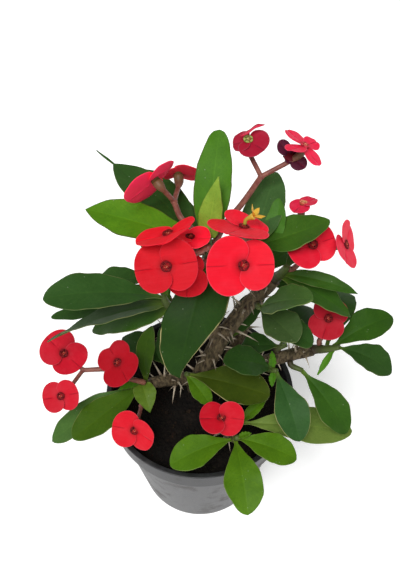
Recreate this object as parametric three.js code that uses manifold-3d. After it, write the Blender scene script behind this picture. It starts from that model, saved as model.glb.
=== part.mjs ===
// Crown of thorns, Euphorbia milii, in its nursery pot.
// Millimetres, +Z up. The origin is the middle of the pot's flat base.

import * as THREE from "three";
import * as BufferGeometryUtils from "three/addons/utils/BufferGeometryUtils.js";
import Module from "manifold-3d";

const wasm = await Module();
wasm.setup();

// ---------------------------------------------------------------- driving dimensions

const GAP = 0.3; // air between pieces that touch

const POT = {
  height: 130,
  rimRadius: 75,
  collarRadius: 73,
  collarHeight: 22,
  shoulderRadius: 69,
  baseRadius: 52,
  wall: 2,
  floor: 2.5,
  edge: 1.5,
  sides: 32,
};
const DRAIN = { count: 6, radius: 5, circle: 34 };

const SOIL = { level: 114, swell: 2.2, sides: 24, rings: [16, 32, 48, 60], hole: 96 };

const STEM_SIDES = 7;
const SHOOT_SIDES = 6;
const STALK_SIDES = 5;

const SPINE = { spacing: 11, radius: 1.3, shortest: 10, longest: 20, spread: 0.55, sunk: 1.2, rise: 0.25 };

const LEAF = { thick: 0.9, neck: 1.6, tip: 0.5, fold: 0.16, wave: 0.9 };
const LEAF_STATIONS = [0, 0.16, 0.36, 0.56, 0.74, 0.9, 1];
const LEAF_FORMS = {
  spoon: { peak: 0.62, heel: 1.0, nose: 0.55 },
  oval: { peak: 0.55, heel: 0.8, nose: 0.6 },
  strap: { peak: 0.46, heel: 0.6, nose: 0.42 },
  lance: { peak: 0.48, heel: 0.8, nose: 0.75 },
  heart: { peak: 0.36, heel: 0.5, nose: 0.9 },
  paddle: { peak: 0.6, heel: 0.9, nose: 0.75 },
  egg: { peak: 0.4, heel: 0.6, nose: 0.6 },
  slanted: { peak: 0.32, heel: 0.5, nose: 1.4 },
  blunt: { peak: 0.6, heel: 0.4, nose: 0.36, full: 0.8 },
  tailed: { peak: 0.5, heel: 0.8, nose: 0.7, tail: 0.16 },
};

const BRACT = { thick: 0.7, long: 0.65, broad: 0.82, offset: 0.36, dish: 0.06, twist: 8, points: 12 };
const NARROW_BRACT = { long: 0.44, broad: 0.42, offset: 0.56 };
const BAY = { mouth: 0.6, spread: 0.45 };
const EYE = { radius: 2.9, above: 1.6, below: 1.6, sides: 6 };
const STAR = { bloom: "bloom_center_top_right", lobes: 5, length: 7, width: 3.6, thick: 1, rise: 30 };
const STAR_CUP = { lean: [5, 1.5, 5.5], foot: 1.1, mouth: 2.2, sides: 6 };
const CUP = { radius: 2.6, depth: 5 };
const STALK = { peduncle: 2.1, fork: 1.8, pedicel: 1.6 };

// ---------------------------------------------------------------- the plant's layout

// Woody stems. A trunk's branches start inside it; every other stem stands in the soil.
const STEMS = {
  stem_center: {
    spineSeed: 3,
    branches: [
      {
        path: [
          [-3, 11, 97], [-3, 11, 120], [4, 8, 152], [16, 9, 192],
          [33, 15, 222], [46, 17, 242], [51, 17, 251],
        ],
        radii: [7.5, 7, 6, 5],
      },
      { path: [[13, 9, 182], [8, 7, 224], [6, 4, 260], [5, 2, 287]], radii: [5.5, 4.2] },
      { path: [[7, 4, 252], [18, 7, 264], [31, 8, 279]], radii: [4, 3.6] },
      { path: [[-2, 10, 130], [-20, 3, 142], [-38, -6, 151]], radii: [5.8, 4.4] },
    ],
  },
  stem_right: {
    spineSeed: 13,
    branches: [
      { path: [[22, 10, 97], [22, 10, 120], [34, 8, 146], [54, 5, 167], [84, 3, 184]], radii: [6.5, 4.4] },
    ],
  },
  stem_front: {
    spineSeed: 17,
    branches: [
      { path: [[8, -22, 97], [8, -22, 116], [17, -36, 133], [24, -47, 141]], radii: [4.5, 3.5] },
    ],
  },
  stem_back_left: {
    spineSeed: 23,
    branches: [
      { path: [[-22, 32, 97], [-22, 32, 120], [-20, 27, 165], [-21, 20, 212]], radii: [5.5, 4.2] },
    ],
  },
  stem_back_right: {
    spineSeed: 29,
    branches: [
      { path: [[24, 36, 97], [24, 36, 120], [36, 46, 152], [44, 56, 186]], radii: [5, 4] },
    ],
  },
  stem_back: {
    spineSeed: 31,
    branches: [
      { path: [[-10, 46, 97], [-10, 46, 119], [-18, 58, 144], [-30, 74, 164]], radii: [4.5, 3.5] },
    ],
  },
};

// Green shoots with their leaves. A shoot goes on from the tip of a woody branch (end), or
// buds from its side (side: the stem, its branch, a share of its length, and a point ahead).
const SHOOTS = {
  shoot_center: {
    end: ["stem_center", 1],
    path: [[5, 2, 300], [5, 3, 312]],
    radii: [4.2, 2.2],
    leaves: [
      { at: 0.9, tip: [12, 54, 353], wide: 23, bow: 5, form: "strap" },
      { at: 0.95, tip: [11, 18, 348], wide: 15, bow: 2, form: "heart" },
      { at: 0.7, tip: [-71, 18, 320], wide: 28, bow: 2, roll: -6, form: "paddle" },
      { at: 0.4, tip: [-69, 74, 318], wide: 34, bow: 4, roll: 6, form: "tailed" },
      { at: 0.45, tip: [-46, 58, 314], wide: 32, bow: 3, roll: 4, form: "spoon" },
      { at: 0.2, tip: [-13, -55, 240], wide: 42, bow: 8, form: "slanted", right: "blunt" },
      { at: 0.5, tip: [5, 80, 258], wide: 18, bow: 6, form: "spoon" },
    ],
  },
  shoot_upper_right: {
    end: ["stem_center", 2],
    path: [[34, 10, 290], [35, 12, 300]],
    radii: [3.4, 2.2],
    leaves: [
      { at: 0.9, tip: [50.5, 60.8, 310.7], wide: 26, bow: 2, form: "egg" },
      { at: 0.7, tip: [81, 14, 314], wide: 28, bow: -1, form: "lance", right: "oval" },
      { at: 0.1, tip: [51, 35, 312.5], wide: 14, bow: 2, bend: 6, form: "spoon" },
    ],
  },
  shoot_right: {
    end: ["stem_center", 0],
    path: [[55, 15, 260], [58, 13, 270]],
    radii: [4, 2.2],
    leaves: [
      { at: 0.5, tip: [106, 1, 256], wide: 11, bow: 4, roll: 25, form: "lance" },
      { at: 0.35, tip: [104, -3, 235], wide: 20, bow: 4, form: "lance" },
      { at: 0.7, tip: [86, 62, 238], wide: 26, bow: 6, form: "spoon" },
    ],
  },
  sprig_upper_right: {
    side: ["stem_center", 0, 0.87, [44, 2, 236]],
    path: [[42, 5, 235]],
    radii: [2.6, 1.9],
    leaves: [
      { at: 0.95, tip: [73, -14, 270], wide: 28, bow: 4, bend: 2, form: "oval" },
      { at: 0.5, tip: [65, -25, 237], wide: 27, bow: 2, form: "spoon" },
      { at: 0.2, tip: [78, -17, 220], wide: 22, bow: 1, form: "spoon" },
    ],
  },
  shoot_far_right: {
    end: ["stem_right", 0],
    path: [[93, 0, 190], [102, -3, 197]],
    radii: [3.8, 2],
    leaves: [
      { at: 0.7, tip: [142, 18, 206], wide: 26, bow: 6, form: "spoon" },
      { at: 0.5, tip: [112, 56, 188], wide: 28, bow: 8, form: "spoon" },
      { at: 0.8, tip: [87, -15, 178], wide: 5, bow: -1, form: "lance" },
      { at: 0.9, tip: [138, -22, 192], wide: 24, bow: 6, form: "spoon" },
    ],
  },
  sprig_middle_right: {
    side: ["stem_center", 0, 0.47, [30, 24, 180]],
    path: [[25, 19, 181]],
    radii: [2.6, 1.9],
    leaves: [{ at: 0.9, tip: [50, 46, 204], wide: 20, bow: 3, form: "lance" }],
  },
  sprig_right: {
    side: ["stem_right", 0, 0.78, [64, 10, 190]],
    path: [[65, 8, 184]],
    radii: [2.6, 1.9],
    leaves: [
      { at: 0.9, tip: [75, 2, 212], wide: 24, bow: 3, form: "spoon" },
      { at: 0.6, tip: [31, 14, 170], wide: 22, bow: 3, form: "spoon" },
      { at: 0.5, tip: [88, 48, 176], wide: 24, bow: 6, form: "spoon" },
    ],
  },
  sprig_under_right: {
    side: ["stem_right", 0, 0.84, [80, -14, 174]],
    path: [[77, -8, 173]],
    radii: [2.4, 1.8],
    leaves: [{ at: 0.9, tip: [110, -46, 146], wide: 26, bow: 4, form: "spoon" }],
  },
  sprig_lower_right: {
    side: ["stem_right", 0, 0.67, [58, -8, 178]],
    path: [[58, -8, 172]],
    radii: [2.8, 2],
    leaves: [
      { at: 0.9, tip: [73, -57, 154], wide: 26, bow: 5, form: "spoon" },
      { at: 0.8, tip: [17, -13, 194], wide: 27, bow: 5, form: "spoon" },
      { at: 0.7, tip: [54, 4, 181], wide: 7, bow: 1, roll: 30, form: "lance" },
      { at: 0.8, tip: [54, -18, 166], wide: 6, bow: 1, roll: 30, form: "lance" },
    ],
  },
  sprig_lower_center: {
    side: ["stem_center", 0, 0.33, [-7, -10, 156]],
    path: [[-11, -4, 161]],
    radii: [2.6, 1.9],
    leaves: [
      { at: 0.9, tip: [53, -20, 156], wide: 34, bow: 3, form: "spoon" },
      { at: 0.95, tip: [8, -24, 148], wide: 15, bow: 2, form: "oval" },
    ],
  },
  shoot_front: {
    end: ["stem_front", 0],
    path: [[27, -50, 146], [28, -52, 150]],
    radii: [3.2, 2],
    leaves: [
      { at: 0.3, tip: [-22, -68, 137], wide: 26, bow: 6, form: "spoon" },
      { at: 0.5, tip: [71, -66, 143], wide: 24, bow: 5, form: "spoon" },
      { at: 0.4, tip: [34, -106, 138], wide: 28, bow: 7, form: "spoon" },
      { at: 0.9, tip: [38, -50, 153], wide: 5, bow: 1, form: "lance" },
    ],
  },
  sprig_front: {
    side: ["stem_front", 0, 0.86, [32, -36, 140]],
    path: [[31, -35, 142]],
    radii: [2.6, 1.9],
    leaves: [
      { at: 0.9, tip: [116, -40, 137], wide: 30, bow: 3, form: "spoon" },
      { at: 0.95, tip: [51, -18, 147], wide: 9, bow: 1, form: "lance" },
    ],
  },
  shoot_left: {
    end: ["stem_center", 3],
    path: [[-42, -8, 154], [-46, -9, 157]],
    radii: [3.4, 2],
    leaves: [
      { at: 0.4, tip: [-35, 10, 205], wide: 14, bow: -2, bend: -4, form: "oval" },
      { at: 0.85, tip: [-38, -30, 148], wide: 17, bow: 2, form: "heart" },
      { at: 0.6, tip: [-93, -55, 154], wide: 27, bow: 1, form: "spoon" },
      { at: 0.2, tip: [-114, -43, 126], wide: 25, bow: 7, form: "spoon" },
      { at: 0.95, tip: [-62, -16, 158], wide: 6, bow: 1, form: "lance" },
    ],
  },
  sprig_left: {
    side: ["stem_center", 3, 0.6, [-26, 14, 160]],
    path: [[-27, 8, 156]],
    radii: [2.4, 1.8],
    leaves: [
      { at: 0.9, tip: [-30, 18, 191], wide: 12, bow: 1, form: "lance" },
      { at: 0.5, tip: [-62, 38, 150], wide: 22, bow: 6, form: "spoon" },
    ],
  },
  shoot_back_left: {
    end: ["stem_back_left", 0],
    path: [[-24, 18, 222], [-26, 17, 232]],
    radii: [3.8, 2.2],
    leaves: [
      { at: 0.9, tip: [-107, 2, 249], wide: 33, bow: 7, form: "spoon" },
      { at: 0.5, tip: [-109, -7, 210], wide: 24, bow: 7, roll: 10, twist: 40, form: "lance" },
      { at: 0.2, tip: [-82, 20, 184], wide: 32, bow: 4, form: "egg" },
      { at: 0.2, tip: [-40, 90, 190], wide: 28, bow: 8, form: "spoon" },
      { at: 0.7, tip: [-20, 90, 222], wide: 26, bow: 8, form: "spoon" },
      { at: 0.1, tip: [-2, -6, 196], wide: 16, bow: 3, form: "spoon" },
      { at: 0.3, tip: [-110, 18, 205], wide: 14, bow: 4, form: "spoon" },
    ],
  },
  shoot_back_right: {
    end: ["stem_back_right", 0],
    path: [[46, 60, 196], [47, 62, 206]],
    radii: [3.8, 2.2],
    leaves: [
      { at: 0.9, tip: [30, 122, 205], wide: 30, bow: 8, form: "spoon" },
      { at: 0.7, tip: [88, 102, 190], wide: 30, bow: 8, form: "spoon" },
      { at: 0.4, tip: [104, 50, 190], wide: 26, bow: 6, form: "spoon" },
      { at: 0.3, tip: [4, 100, 186], wide: 26, bow: 5, form: "spoon" },
    ],
  },
  shoot_back: {
    end: ["stem_back", 0],
    path: [[-33, 79, 170], [-35, 82, 176]],
    radii: [3.2, 2],
    leaves: [
      { at: 0.9, tip: [-42, 140, 172], wide: 28, bow: 8, form: "spoon" },
      { at: 0.7, tip: [-92, 84, 150], wide: 28, bow: 8, form: "spoon" },
      { at: 0.4, tip: [-84, 58, 152], wide: 24, bow: 6, form: "spoon" },
      { at: 0.3, tip: [0, 116, 158], wide: 26, bow: 6, form: "spoon" },
    ],
  },
};

// Blooms: the middle of the eye, the way it faces, the width over both bracts, the turn of
// the pair about that way, and how far the bracts are lifted out of flat, in degrees. Where
// bracts differ from that, each has its own added turn, its lift, its twist and its size.
const BLOOMS = {
  bloom_center_left: { at: [-19.5, -31, 324], face: [-0.02, -0.58, 0.81], wide: 37, turn: 9, lift: 2 },
  bloom_center_right: {
    at: [25, -31, 325], face: [0.08, -0.68, 0.73], wide: 40, turn: 3, lift: 2,
    bracts: [{ twist: -6, size: 0.9 }, { twist: -12, size: 1.1 }],
  },
  bloom_center_low: {
    at: [-7.5, -18, 303], face: [0, -0.7, 0.71], wide: 31, turn: 88, lift: 3,
    bracts: [{ lift: -14, size: 0.78 }, { size: 1 }],
  },
  bloom_center_top_left: {
    at: [-18.5, -14, 333], face: [-0.22, 0.16, 0.96], wide: 38, turn: 0, lift: 0,
    bracts: [{ turn: -24, lift: 22, twist: -8, size: 0.94 }, { turn: 11, twist: 19, size: 1.04 }],
  },
  bloom_center_back: { at: [-6, -4, 319], face: [0.05, 0.26, 0.96], wide: 25, turn: -10, lift: 3 },
  bloom_center_top_right: {
    at: [26, -5, 329], face: [0.22, 0.37, 0.9], wide: 40, turn: 61, lift: 1,
    bracts: [{ turn: 12, size: 0.87 }, { turn: -4, lift: 3, size: 1.16 }],
  },
  bloom_upper_left: {
    at: [-27.5, 23, 341], face: [-0.64, 0.65, 0.4], wide: 38, turn: 12, lift: -1,
    bracts: [{ turn: 2, twist: 0, size: 0.84 }, { turn: -2, twist: 9, size: 1.14 }],
  },
  bloom_upper_left_back: {
    at: [-14, 47, 324], face: [-0.08, 0.89, 0.44], wide: 28, turn: -5, lift: -16,
    bracts: [{ turn: 6, twist: 0, size: 1.16 }, { turn: 12, twist: 0, size: 0.76 }],
  },
  bloom_upper_right: {
    at: [30, 54, 345], face: [0.05, -0.17, 0.98], wide: 30, turn: -43, lift: 3,
    bracts: [{ size: 0.9 }, { turn: 47, lift: -30, size: 0.7 }],
  },
  bloom_upper_far_right: {
    at: [65.5, 52, 342], face: [0.34, 0.14, 0.93], wide: 32, turn: 41, lift: -5, pairs: 2,
    bracts: [{ turn: 5, size: 0.89 }, { turn: -6, size: 1.08 }, { twist: 19 }, { lift: -18, twist: -5 }],
  },
  bloom_right_small: {
    at: [68, 41, 302], face: [0.13, 0.34, 0.93], wide: 19, turn: 24, lift: 14,
    bracts: [{ turn: -3, twist: -10 }, { turn: 13, lift: -34, twist: 3 }],
  },
  bloom_right_behind: {
    at: [72, 10, 296], face: [0.1, -0.5, 0.86], wide: 36, turn: 20, lift: 4,
    bracts: [{ size: 0.84 }, { size: 1 }],
  },
  bloom_right_edge: { at: [93, 10, 296], face: [0.85, -0.2, 0.5], wide: 32, turn: 80, lift: 4 },
  bloom_left: {
    at: [-61, -8, 184], face: [-0.24, -0.41, 0.88], wide: 34, turn: -59, lift: 14,
    bracts: [{ twist: 4, size: 1.11 }, { turn: -2, lift: -8, twist: -4 }],
  },
  bloom_left_edge: { at: [-102, 1, 183], face: [0.23, -0.72, 0.65], wide: 36, turn: -39, lift: -8 },
  bloom_left_low: { at: [-102, -30, 173], face: [-0.12, -0.56, 0.82], wide: 28, turn: 9, lift: 2 },
  bloom_front_left: {
    at: [-48, -50, 158], face: [-0.07, -0.76, 0.65], wide: 34, turn: -18, lift: -3,
    bracts: [{ turn: -7, lift: 18, twist: 22 }, { turn: 7, twist: 5 }],
  },
  bloom_front: {
    at: [15.5, -44, 166], face: [0.06, -0.49, 0.87], wide: 34, turn: 1, lift: -2,
    bracts: [{ turn: -4, twist: 25 }, { turn: 3, twist: 30, size: 0.94 }],
  },
  bloom_right: { at: [90.5, 2, 226], face: [-0.05, -0.49, 0.87], wide: 31, turn: -109, lift: 2 },
  bloom_back: { at: [-28, 104, 204], face: [-0.1, 0.6, 0.8], wide: 34, turn: 10, lift: 4 },
};

// Bloom stalks: a peduncle budding from the side of a shoot and along its path, a pedicel to
// each bloom's seat from the path's point of that number, and, where it isn't the usual one,
// the radius of the cups under the blooms. One stalk holds a withered bloom as well.
const STALKS = {
  stalk_center: {
    side: ["shoot_center", 0.75, [7, -12, 312]],
    path: [[5, -9, 315]],
    blooms: { bloom_center_left: 0, bloom_center_right: 0 },
  },
  stalk_center_low: {
    side: ["shoot_center", 0.3, [0, -12, 294]],
    path: [[1, -5, 293]],
    blooms: { bloom_center_low: 0 },
  },
  stalk_center_top_left: {
    side: ["shoot_center", 0.55, [-8, -6, 306]],
    path: [[-4, -3, 306]],
    blooms: { bloom_center_top_left: 0, bloom_center_back: 0 },
  },
  stalk_center_top_right: {
    side: ["shoot_upper_right", 0.8, [30, 2, 306]],
    path: [[31, 4, 307]],
    blooms: { bloom_center_top_right: 0 },
  },
  stalk_upper_left: {
    side: ["shoot_center", 0.86, [-12, 7, 312]],
    path: [[-5, 7, 314], [-12, 14, 317], [-16, 20, 325]],
    blooms: { bloom_upper_left: 2, bloom_upper_left_back: 2 },
    cup: 3.2,
  },
  stalk_upper_right: {
    side: ["shoot_center", 0.7, [20, 14, 312]],
    path: [[15, 11, 313], [27, 26, 318], [39, 44, 323]],
    blooms: { bloom_upper_right: 2, bloom_upper_far_right: 2 },
    withered: {
      at: [57, 52, 333], face: [0.15, -0.45, 0.88], wide: 23, turn: -40, lift: 12, pairs: 2,
      bracts: [{ size: 1.1 }, { size: 0.6 }, { turn: -8, size: 1.05 }, { turn: 20, size: 0.5 }],
    },
  },
  stalk_right: {
    side: ["shoot_right", 0.85, [74, 14, 276]],
    path: [[67, 15, 273]],
    blooms: { bloom_right_behind: 0, bloom_right_edge: 0, bloom_right_small: 0 },
  },
  stalk_far_right: {
    side: ["shoot_far_right", 0.3, [92, 6, 200]],
    path: [[91, 6, 200]],
    blooms: { bloom_right: 0 },
  },
  stalk_left: {
    side: ["shoot_left", 0.93, [-53, -12, 165]],
    path: [[-53, -11, 166], [-66, -4, 167], [-89, -4, 167]],
    blooms: { bloom_left: 0, bloom_left_edge: 2, bloom_left_low: 2 },
  },
  stalk_front_left: {
    side: ["shoot_left", 0.3, [-44, -24, 144]],
    path: [[-45, -22, 144]],
    blooms: { bloom_front_left: 0 },
  },
  stalk_front: {
    side: ["shoot_front", 0.7, [20, -44, 152]],
    path: [[21, -45, 151]],
    blooms: { bloom_front: 0 },
  },
  stalk_back: {
    side: ["shoot_back", 0.8, [-30, 90, 186]],
    path: [[-31, 90, 188]],
    blooms: { bloom_back: 0 },
  },
};

// ---------------------------------------------------------------- closed solids

const vector = (point) => new THREE.Vector3(...point);

// A closed, indexed geometry from a vertex list and a triangle list.
function closedGeometry(points, triangles) {
  const geometry = new THREE.BufferGeometry();
  const positions = points.flatMap((point) => [point.x, point.y, point.z]);
  geometry.setAttribute("position", new THREE.Float32BufferAttribute(positions, 3));
  geometry.setIndex(triangles.flat());
  return geometry;
}

function toManifold(geometry) {
  const bare = geometry.clone();
  bare.deleteAttribute("normal");
  bare.deleteAttribute("uv");
  const merged = BufferGeometryUtils.mergeVertices(bare, 1e-4);
  const vertProperties = new Float32Array(merged.attributes.position.array);
  const triVerts = new Uint32Array(merged.index.array);
  return new wasm.Manifold(new wasm.Mesh({ numProp: 3, vertProperties, triVerts }));
}

function toGeometry(solid) {
  const { vertProperties, triVerts, numProp } = solid.getMesh();
  const geometry = new THREE.BufferGeometry();
  const count = vertProperties.length / numProp;
  const positions = new Float32Array(count * 3);
  for (let i = 0; i < count; i++) {
    positions.set(vertProperties.subarray(i * numProp, i * numProp + 3), i * 3);
  }
  geometry.setAttribute("position", new THREE.BufferAttribute(positions, 3));
  geometry.setIndex(new THREE.BufferAttribute(new Uint32Array(triVerts), 1));
  geometry.computeVertexNormals();
  return geometry;
}

const fuse = (geometries) => geometries.map(toManifold).reduce((whole, piece) => whole.add(piece));

// A round stem along a curve through the points, closed at both ends, with its radius
// running evenly along the list of radii.
function taperedTube(points, radii, sides, stepLength = 14) {
  const curve = new THREE.CatmullRomCurve3(points);
  const steps = Math.max(2, Math.round(curve.getLength() / stepLength));
  const frames = curve.computeFrenetFrames(steps, false);
  const vertices = [];
  for (let i = 0; i <= steps; i++) {
    const centre = curve.getPointAt(i / steps);
    const radius = alongList(radii, i / steps);
    for (let k = 0; k < sides; k++) {
      const angle = (2 * Math.PI * k) / sides;
      const normal = frames.normals[i].clone().multiplyScalar(Math.cos(angle) * radius);
      const binormal = frames.binormals[i].clone().multiplyScalar(Math.sin(angle) * radius);
      vertices.push(centre.clone().add(normal).add(binormal));
    }
  }
  const triangles = [];
  for (let i = 0; i < steps; i++) {
    for (let k = 0; k < sides; k++) {
      const next = (k + 1) % sides;
      const a = i * sides + k;
      const b = i * sides + next;
      triangles.push([a, b, a + sides], [b, b + sides, a + sides]);
    }
  }
  for (let k = 1; k < sides - 1; k++) {
    const last = steps * sides;
    triangles.push([0, k + 1, k], [last, last + k, last + k + 1]);
  }
  return closedGeometry(vertices, triangles);
}

function alongList(values, share) {
  const place = share * (values.length - 1);
  const low = Math.min(Math.floor(place), values.length - 2);
  return THREE.MathUtils.lerp(values[low], values[low + 1], place - low);
}

// ---------------------------------------------------------------- pot and soil

function potGeometry() {
  const { height, rimRadius, collarRadius, collarHeight, shoulderRadius, baseRadius } = POT;
  const { wall, floor, edge, sides } = POT;
  const collarFoot = height - collarHeight;
  const profile = [
    [0, 0],
    [baseRadius - edge, 0],
    [baseRadius, edge],
    [shoulderRadius, collarFoot],
    [collarRadius, collarFoot + edge],
    [collarRadius, height - 2 * edge],
    [rimRadius, height - edge],
    [rimRadius, height],
    [collarRadius - wall, height],
    [collarRadius - wall, collarFoot + edge + wall],
    [shoulderRadius - wall, collarFoot],
    [baseRadius - wall, floor],
    [0, floor],
  ];
  const points = profile.map(([r, z]) => new THREE.Vector2(r, z));
  return new THREE.LatheGeometry(points, sides).rotateX(Math.PI / 2);
}

function drainHole(index) {
  const angle = (2 * Math.PI * (index + 0.5)) / DRAIN.count;
  return new THREE.CylinderGeometry(DRAIN.radius, DRAIN.radius, 4 * POT.floor, 10)
    .rotateX(Math.PI / 2)
    .translate(DRAIN.circle * Math.cos(angle), DRAIN.circle * Math.sin(angle), 0);
}

function potSolid() {
  let pot = toManifold(potGeometry());
  for (let i = 0; i < DRAIN.count; i++) {
    pot = pot.subtract(toManifold(drainHole(i)));
  }
  return pot;
}

// Height of the potting mix, with its low humps.
function soilHeight(x, y) {
  const humps = Math.sin(x / 9 + 1) * Math.cos(y / 11) + 0.5 * Math.sin((x + 2 * y) / 7);
  return SOIL.level + SOIL.swell * humps;
}

const potInside = (z) => {
  const share = (z - POT.floor) / (POT.height - POT.collarHeight - POT.floor);
  return THREE.MathUtils.lerp(POT.baseRadius, POT.shoulderRadius, share) - POT.wall;
};

function soilSolid() {
  const foot = POT.floor + GAP;
  const shoulder = POT.height - POT.collarHeight;
  const faceting = Math.cos(Math.PI / POT.sides);
  const topRadius = (POT.shoulderRadius - POT.wall) * faceting - GAP;
  const profile = [[0, foot], [potInside(foot) * faceting - GAP, foot], [topRadius, shoulder]];
  profile.push([topRadius, SOIL.level]);
  for (const radius of [...SOIL.rings].reverse()) {
    profile.push([radius, SOIL.level]);
  }
  profile.push([0, SOIL.level]);
  const points = profile.map(([r, z]) => new THREE.Vector2(r, z));
  const geometry = new THREE.LatheGeometry(points, SOIL.sides).rotateX(Math.PI / 2);
  const position = geometry.attributes.position;
  for (let i = 0; i < position.count; i++) {
    if (position.getZ(i) > shoulder + 1) {
      position.setZ(i, soilHeight(position.getX(i), position.getY(i)));
    }
  }
  let soil = toManifold(geometry);
  for (const stem of Object.values(STEMS)) {
    soil = soil.subtract(toManifold(stemHole(stem.branches[0])));
  }
  return soil;
}

// A plain round hole in the potting mix for one stem.
function stemHole({ path, radii }) {
  const [x, y, z] = path[0];
  const depth = POT.height - SOIL.hole;
  return new THREE.CylinderGeometry(radii[0] + 1, radii[0] + 1, depth, 12)
    .rotateX(Math.PI / 2)
    .translate(x, y, z - GAP + depth / 2);
}

// ---------------------------------------------------------------- woody stems and spines

// A slim three-sided spine, its foot sunk in the bark.
function spineGeometry(foot, direction, length) {
  const axis = direction.clone().normalize();
  const side = new THREE.Vector3(0, 0, 1).cross(axis).normalize();
  const other = axis.clone().cross(side);
  const corners = [0, 1, 2].map((k) => {
    const angle = (2 * Math.PI * k) / 3;
    return foot.clone()
      .addScaledVector(side, SPINE.radius * Math.cos(angle))
      .addScaledVector(other, SPINE.radius * Math.sin(angle));
  });
  const tip = foot.clone().addScaledVector(axis, length);
  return closedGeometry([...corners, tip], [[0, 1, 3], [1, 2, 3], [2, 0, 3], [0, 2, 1]]);
}

// A repeatable stream of numbers from 0 to 1.
function seededRandom(seed) {
  let state = seed;
  return () => {
    state = (state * 16807) % 2147483647;
    return state / 2147483647;
  };
}

// Spines stand in pairs, each pair turned on from the last by the golden angle.
function branchSpines({ path, radii }, random) {
  const curve = new THREE.CatmullRomCurve3(path.map(vector));
  const count = Math.floor(curve.getLength() / SPINE.spacing);
  const spines = [];
  for (let i = 1; i < count; i++) {
    const share = i / count;
    const centre = curve.getPointAt(share);
    const clearOfSoil = centre.z > SOIL.level + 6;
    const tangent = curve.getTangentAt(share);
    const across = new THREE.Vector3(0, 1, 0).cross(tangent).normalize();
    const radius = alongList(radii, share) - SPINE.sunk;
    for (const turn of [-SPINE.spread, SPINE.spread]) {
      const outward = across.clone().applyAxisAngle(tangent, i * 2.4 + turn);
      const length = THREE.MathUtils.lerp(SPINE.shortest, SPINE.longest, random());
      const foot = centre.clone().addScaledVector(outward, radius);
      const direction = outward.clone().addScaledVector(tangent, SPINE.rise);
      if (clearOfSoil) {
        spines.push(spineGeometry(foot, direction, length));
      }
    }
  }
  return spines;
}

function stemSolid({ branches, spineSeed }) {
  const random = seededRandom(spineSeed * 7919);
  const pieces = [];
  for (const branch of branches) {
    pieces.push(taperedTube(branch.path.map(vector), branch.radii, STEM_SIDES));
    pieces.push(...branchSpines(branch, random));
  }
  return fuse(pieces);
}

// ---------------------------------------------------------------- green shoots and leaves

// Where a shoot starts: 0.3 mm beyond a woody tip, or beside a woody branch.
function shootStart(shoot) {
  if (shoot.end) {
    const [stem, index] = shoot.end;
    const curve = new THREE.CatmullRomCurve3(STEMS[stem].branches[index].path.map(vector));
    const heading = curve.getTangentAt(1);
    const start = curve.getPointAt(1).addScaledVector(heading, GAP);
    return [start, start.clone().addScaledVector(heading, 3)];
  }
  const [stem, index, share, toward] = shoot.side;
  const { path, radii } = STEMS[stem].branches[index];
  const curve = new THREE.CatmullRomCurve3(path.map(vector));
  return budBeside(curve, share, alongList(radii, share), toward);
}

// Two points leading straight out from the side of a round stem, toward a point.
function budBeside(curve, share, radius, toward) {
  const centre = curve.getPointAt(share);
  const tangent = curve.getTangentAt(share);
  const outward = vector(toward).sub(centre);
  outward.addScaledVector(tangent, -outward.dot(tangent)).normalize();
  const start = centre.addScaledVector(outward, radius + GAP);
  return [start, start.clone().addScaledVector(outward, 2.5)];
}

const shootPoints = (shoot) => [...shootStart(shoot), ...shoot.path.map(vector)];

// How wide a leaf is at a share of its length, from 0 to 1. A tail is a thin curled tip, and a
// side that is less full than the other stays narrower all along.
function leafOutline(form, share) {
  const { peak, heel, nose, tail = 0, full = 1 } = LEAF_FORMS[form];
  const place = Math.min(share / (1 - tail), 1);
  const power = Math.log(0.5) / Math.log(peak);
  const swell = Math.sin(Math.PI * place ** power);
  return full * Math.max(swell, 0) ** (place < peak ? heel : nose);
}

// A thin closed blade from base to tip: each section has a left edge, a midrib and a right
// edge, on an upper and a lower face split into triangles alike. The midrib arches up by its
// bow and sideways by its bend, and a leaf of unequal sides has a form of its own on the right.
function leafGeometry(base, { tip, wide, bow, bend = 0, roll = 0, twist = 0, ...forms }) {
  const { form, right: rightForm = form } = forms;
  const chord = vector(tip).sub(base);
  const along = chord.clone().normalize();
  const face = new THREE.Vector3(0, 0, 1);
  face.addScaledVector(along, -face.dot(along)).normalize();
  const arching = face.clone().multiplyScalar(bow).addScaledVector(along.clone().cross(face), bend);
  const vertices = [];
  for (const share of LEAF_STATIONS) {
    const angle = THREE.MathUtils.degToRad(roll + twist * share);
    const up = face.clone().applyAxisAngle(along, angle);
    const side = along.clone().cross(up);
    const rest = LEAF.neck * (1 - share) + LEAF.tip * share;
    const halves = [form, rightForm].map((name) => Math.max((wide / 2) * leafOutline(name, share), rest));
    const middle = base.clone().addScaledVector(chord, share);
    middle.addScaledVector(arching, 4 * share * (1 - share));
    const wave = LEAF.wave * (Math.max(...halves) / 15) * Math.sin(share * 11 + wide);
    const [left, right] = halves.map((half, k) => {
      const way = k === 0 ? -1 : 1;
      return middle
        .clone()
        .addScaledVector(side, way * half)
        .addScaledVector(up, LEAF.fold * half - way * wave);
    });
    for (const point of [left, middle, right]) {
      vertices.push(point.clone().addScaledVector(up, LEAF.thick / 2));
      vertices.push(point.clone().addScaledVector(up, -LEAF.thick / 2));
    }
  }
  return closedGeometry(vertices, bladeTriangles(LEAF_STATIONS.length));
}

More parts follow.
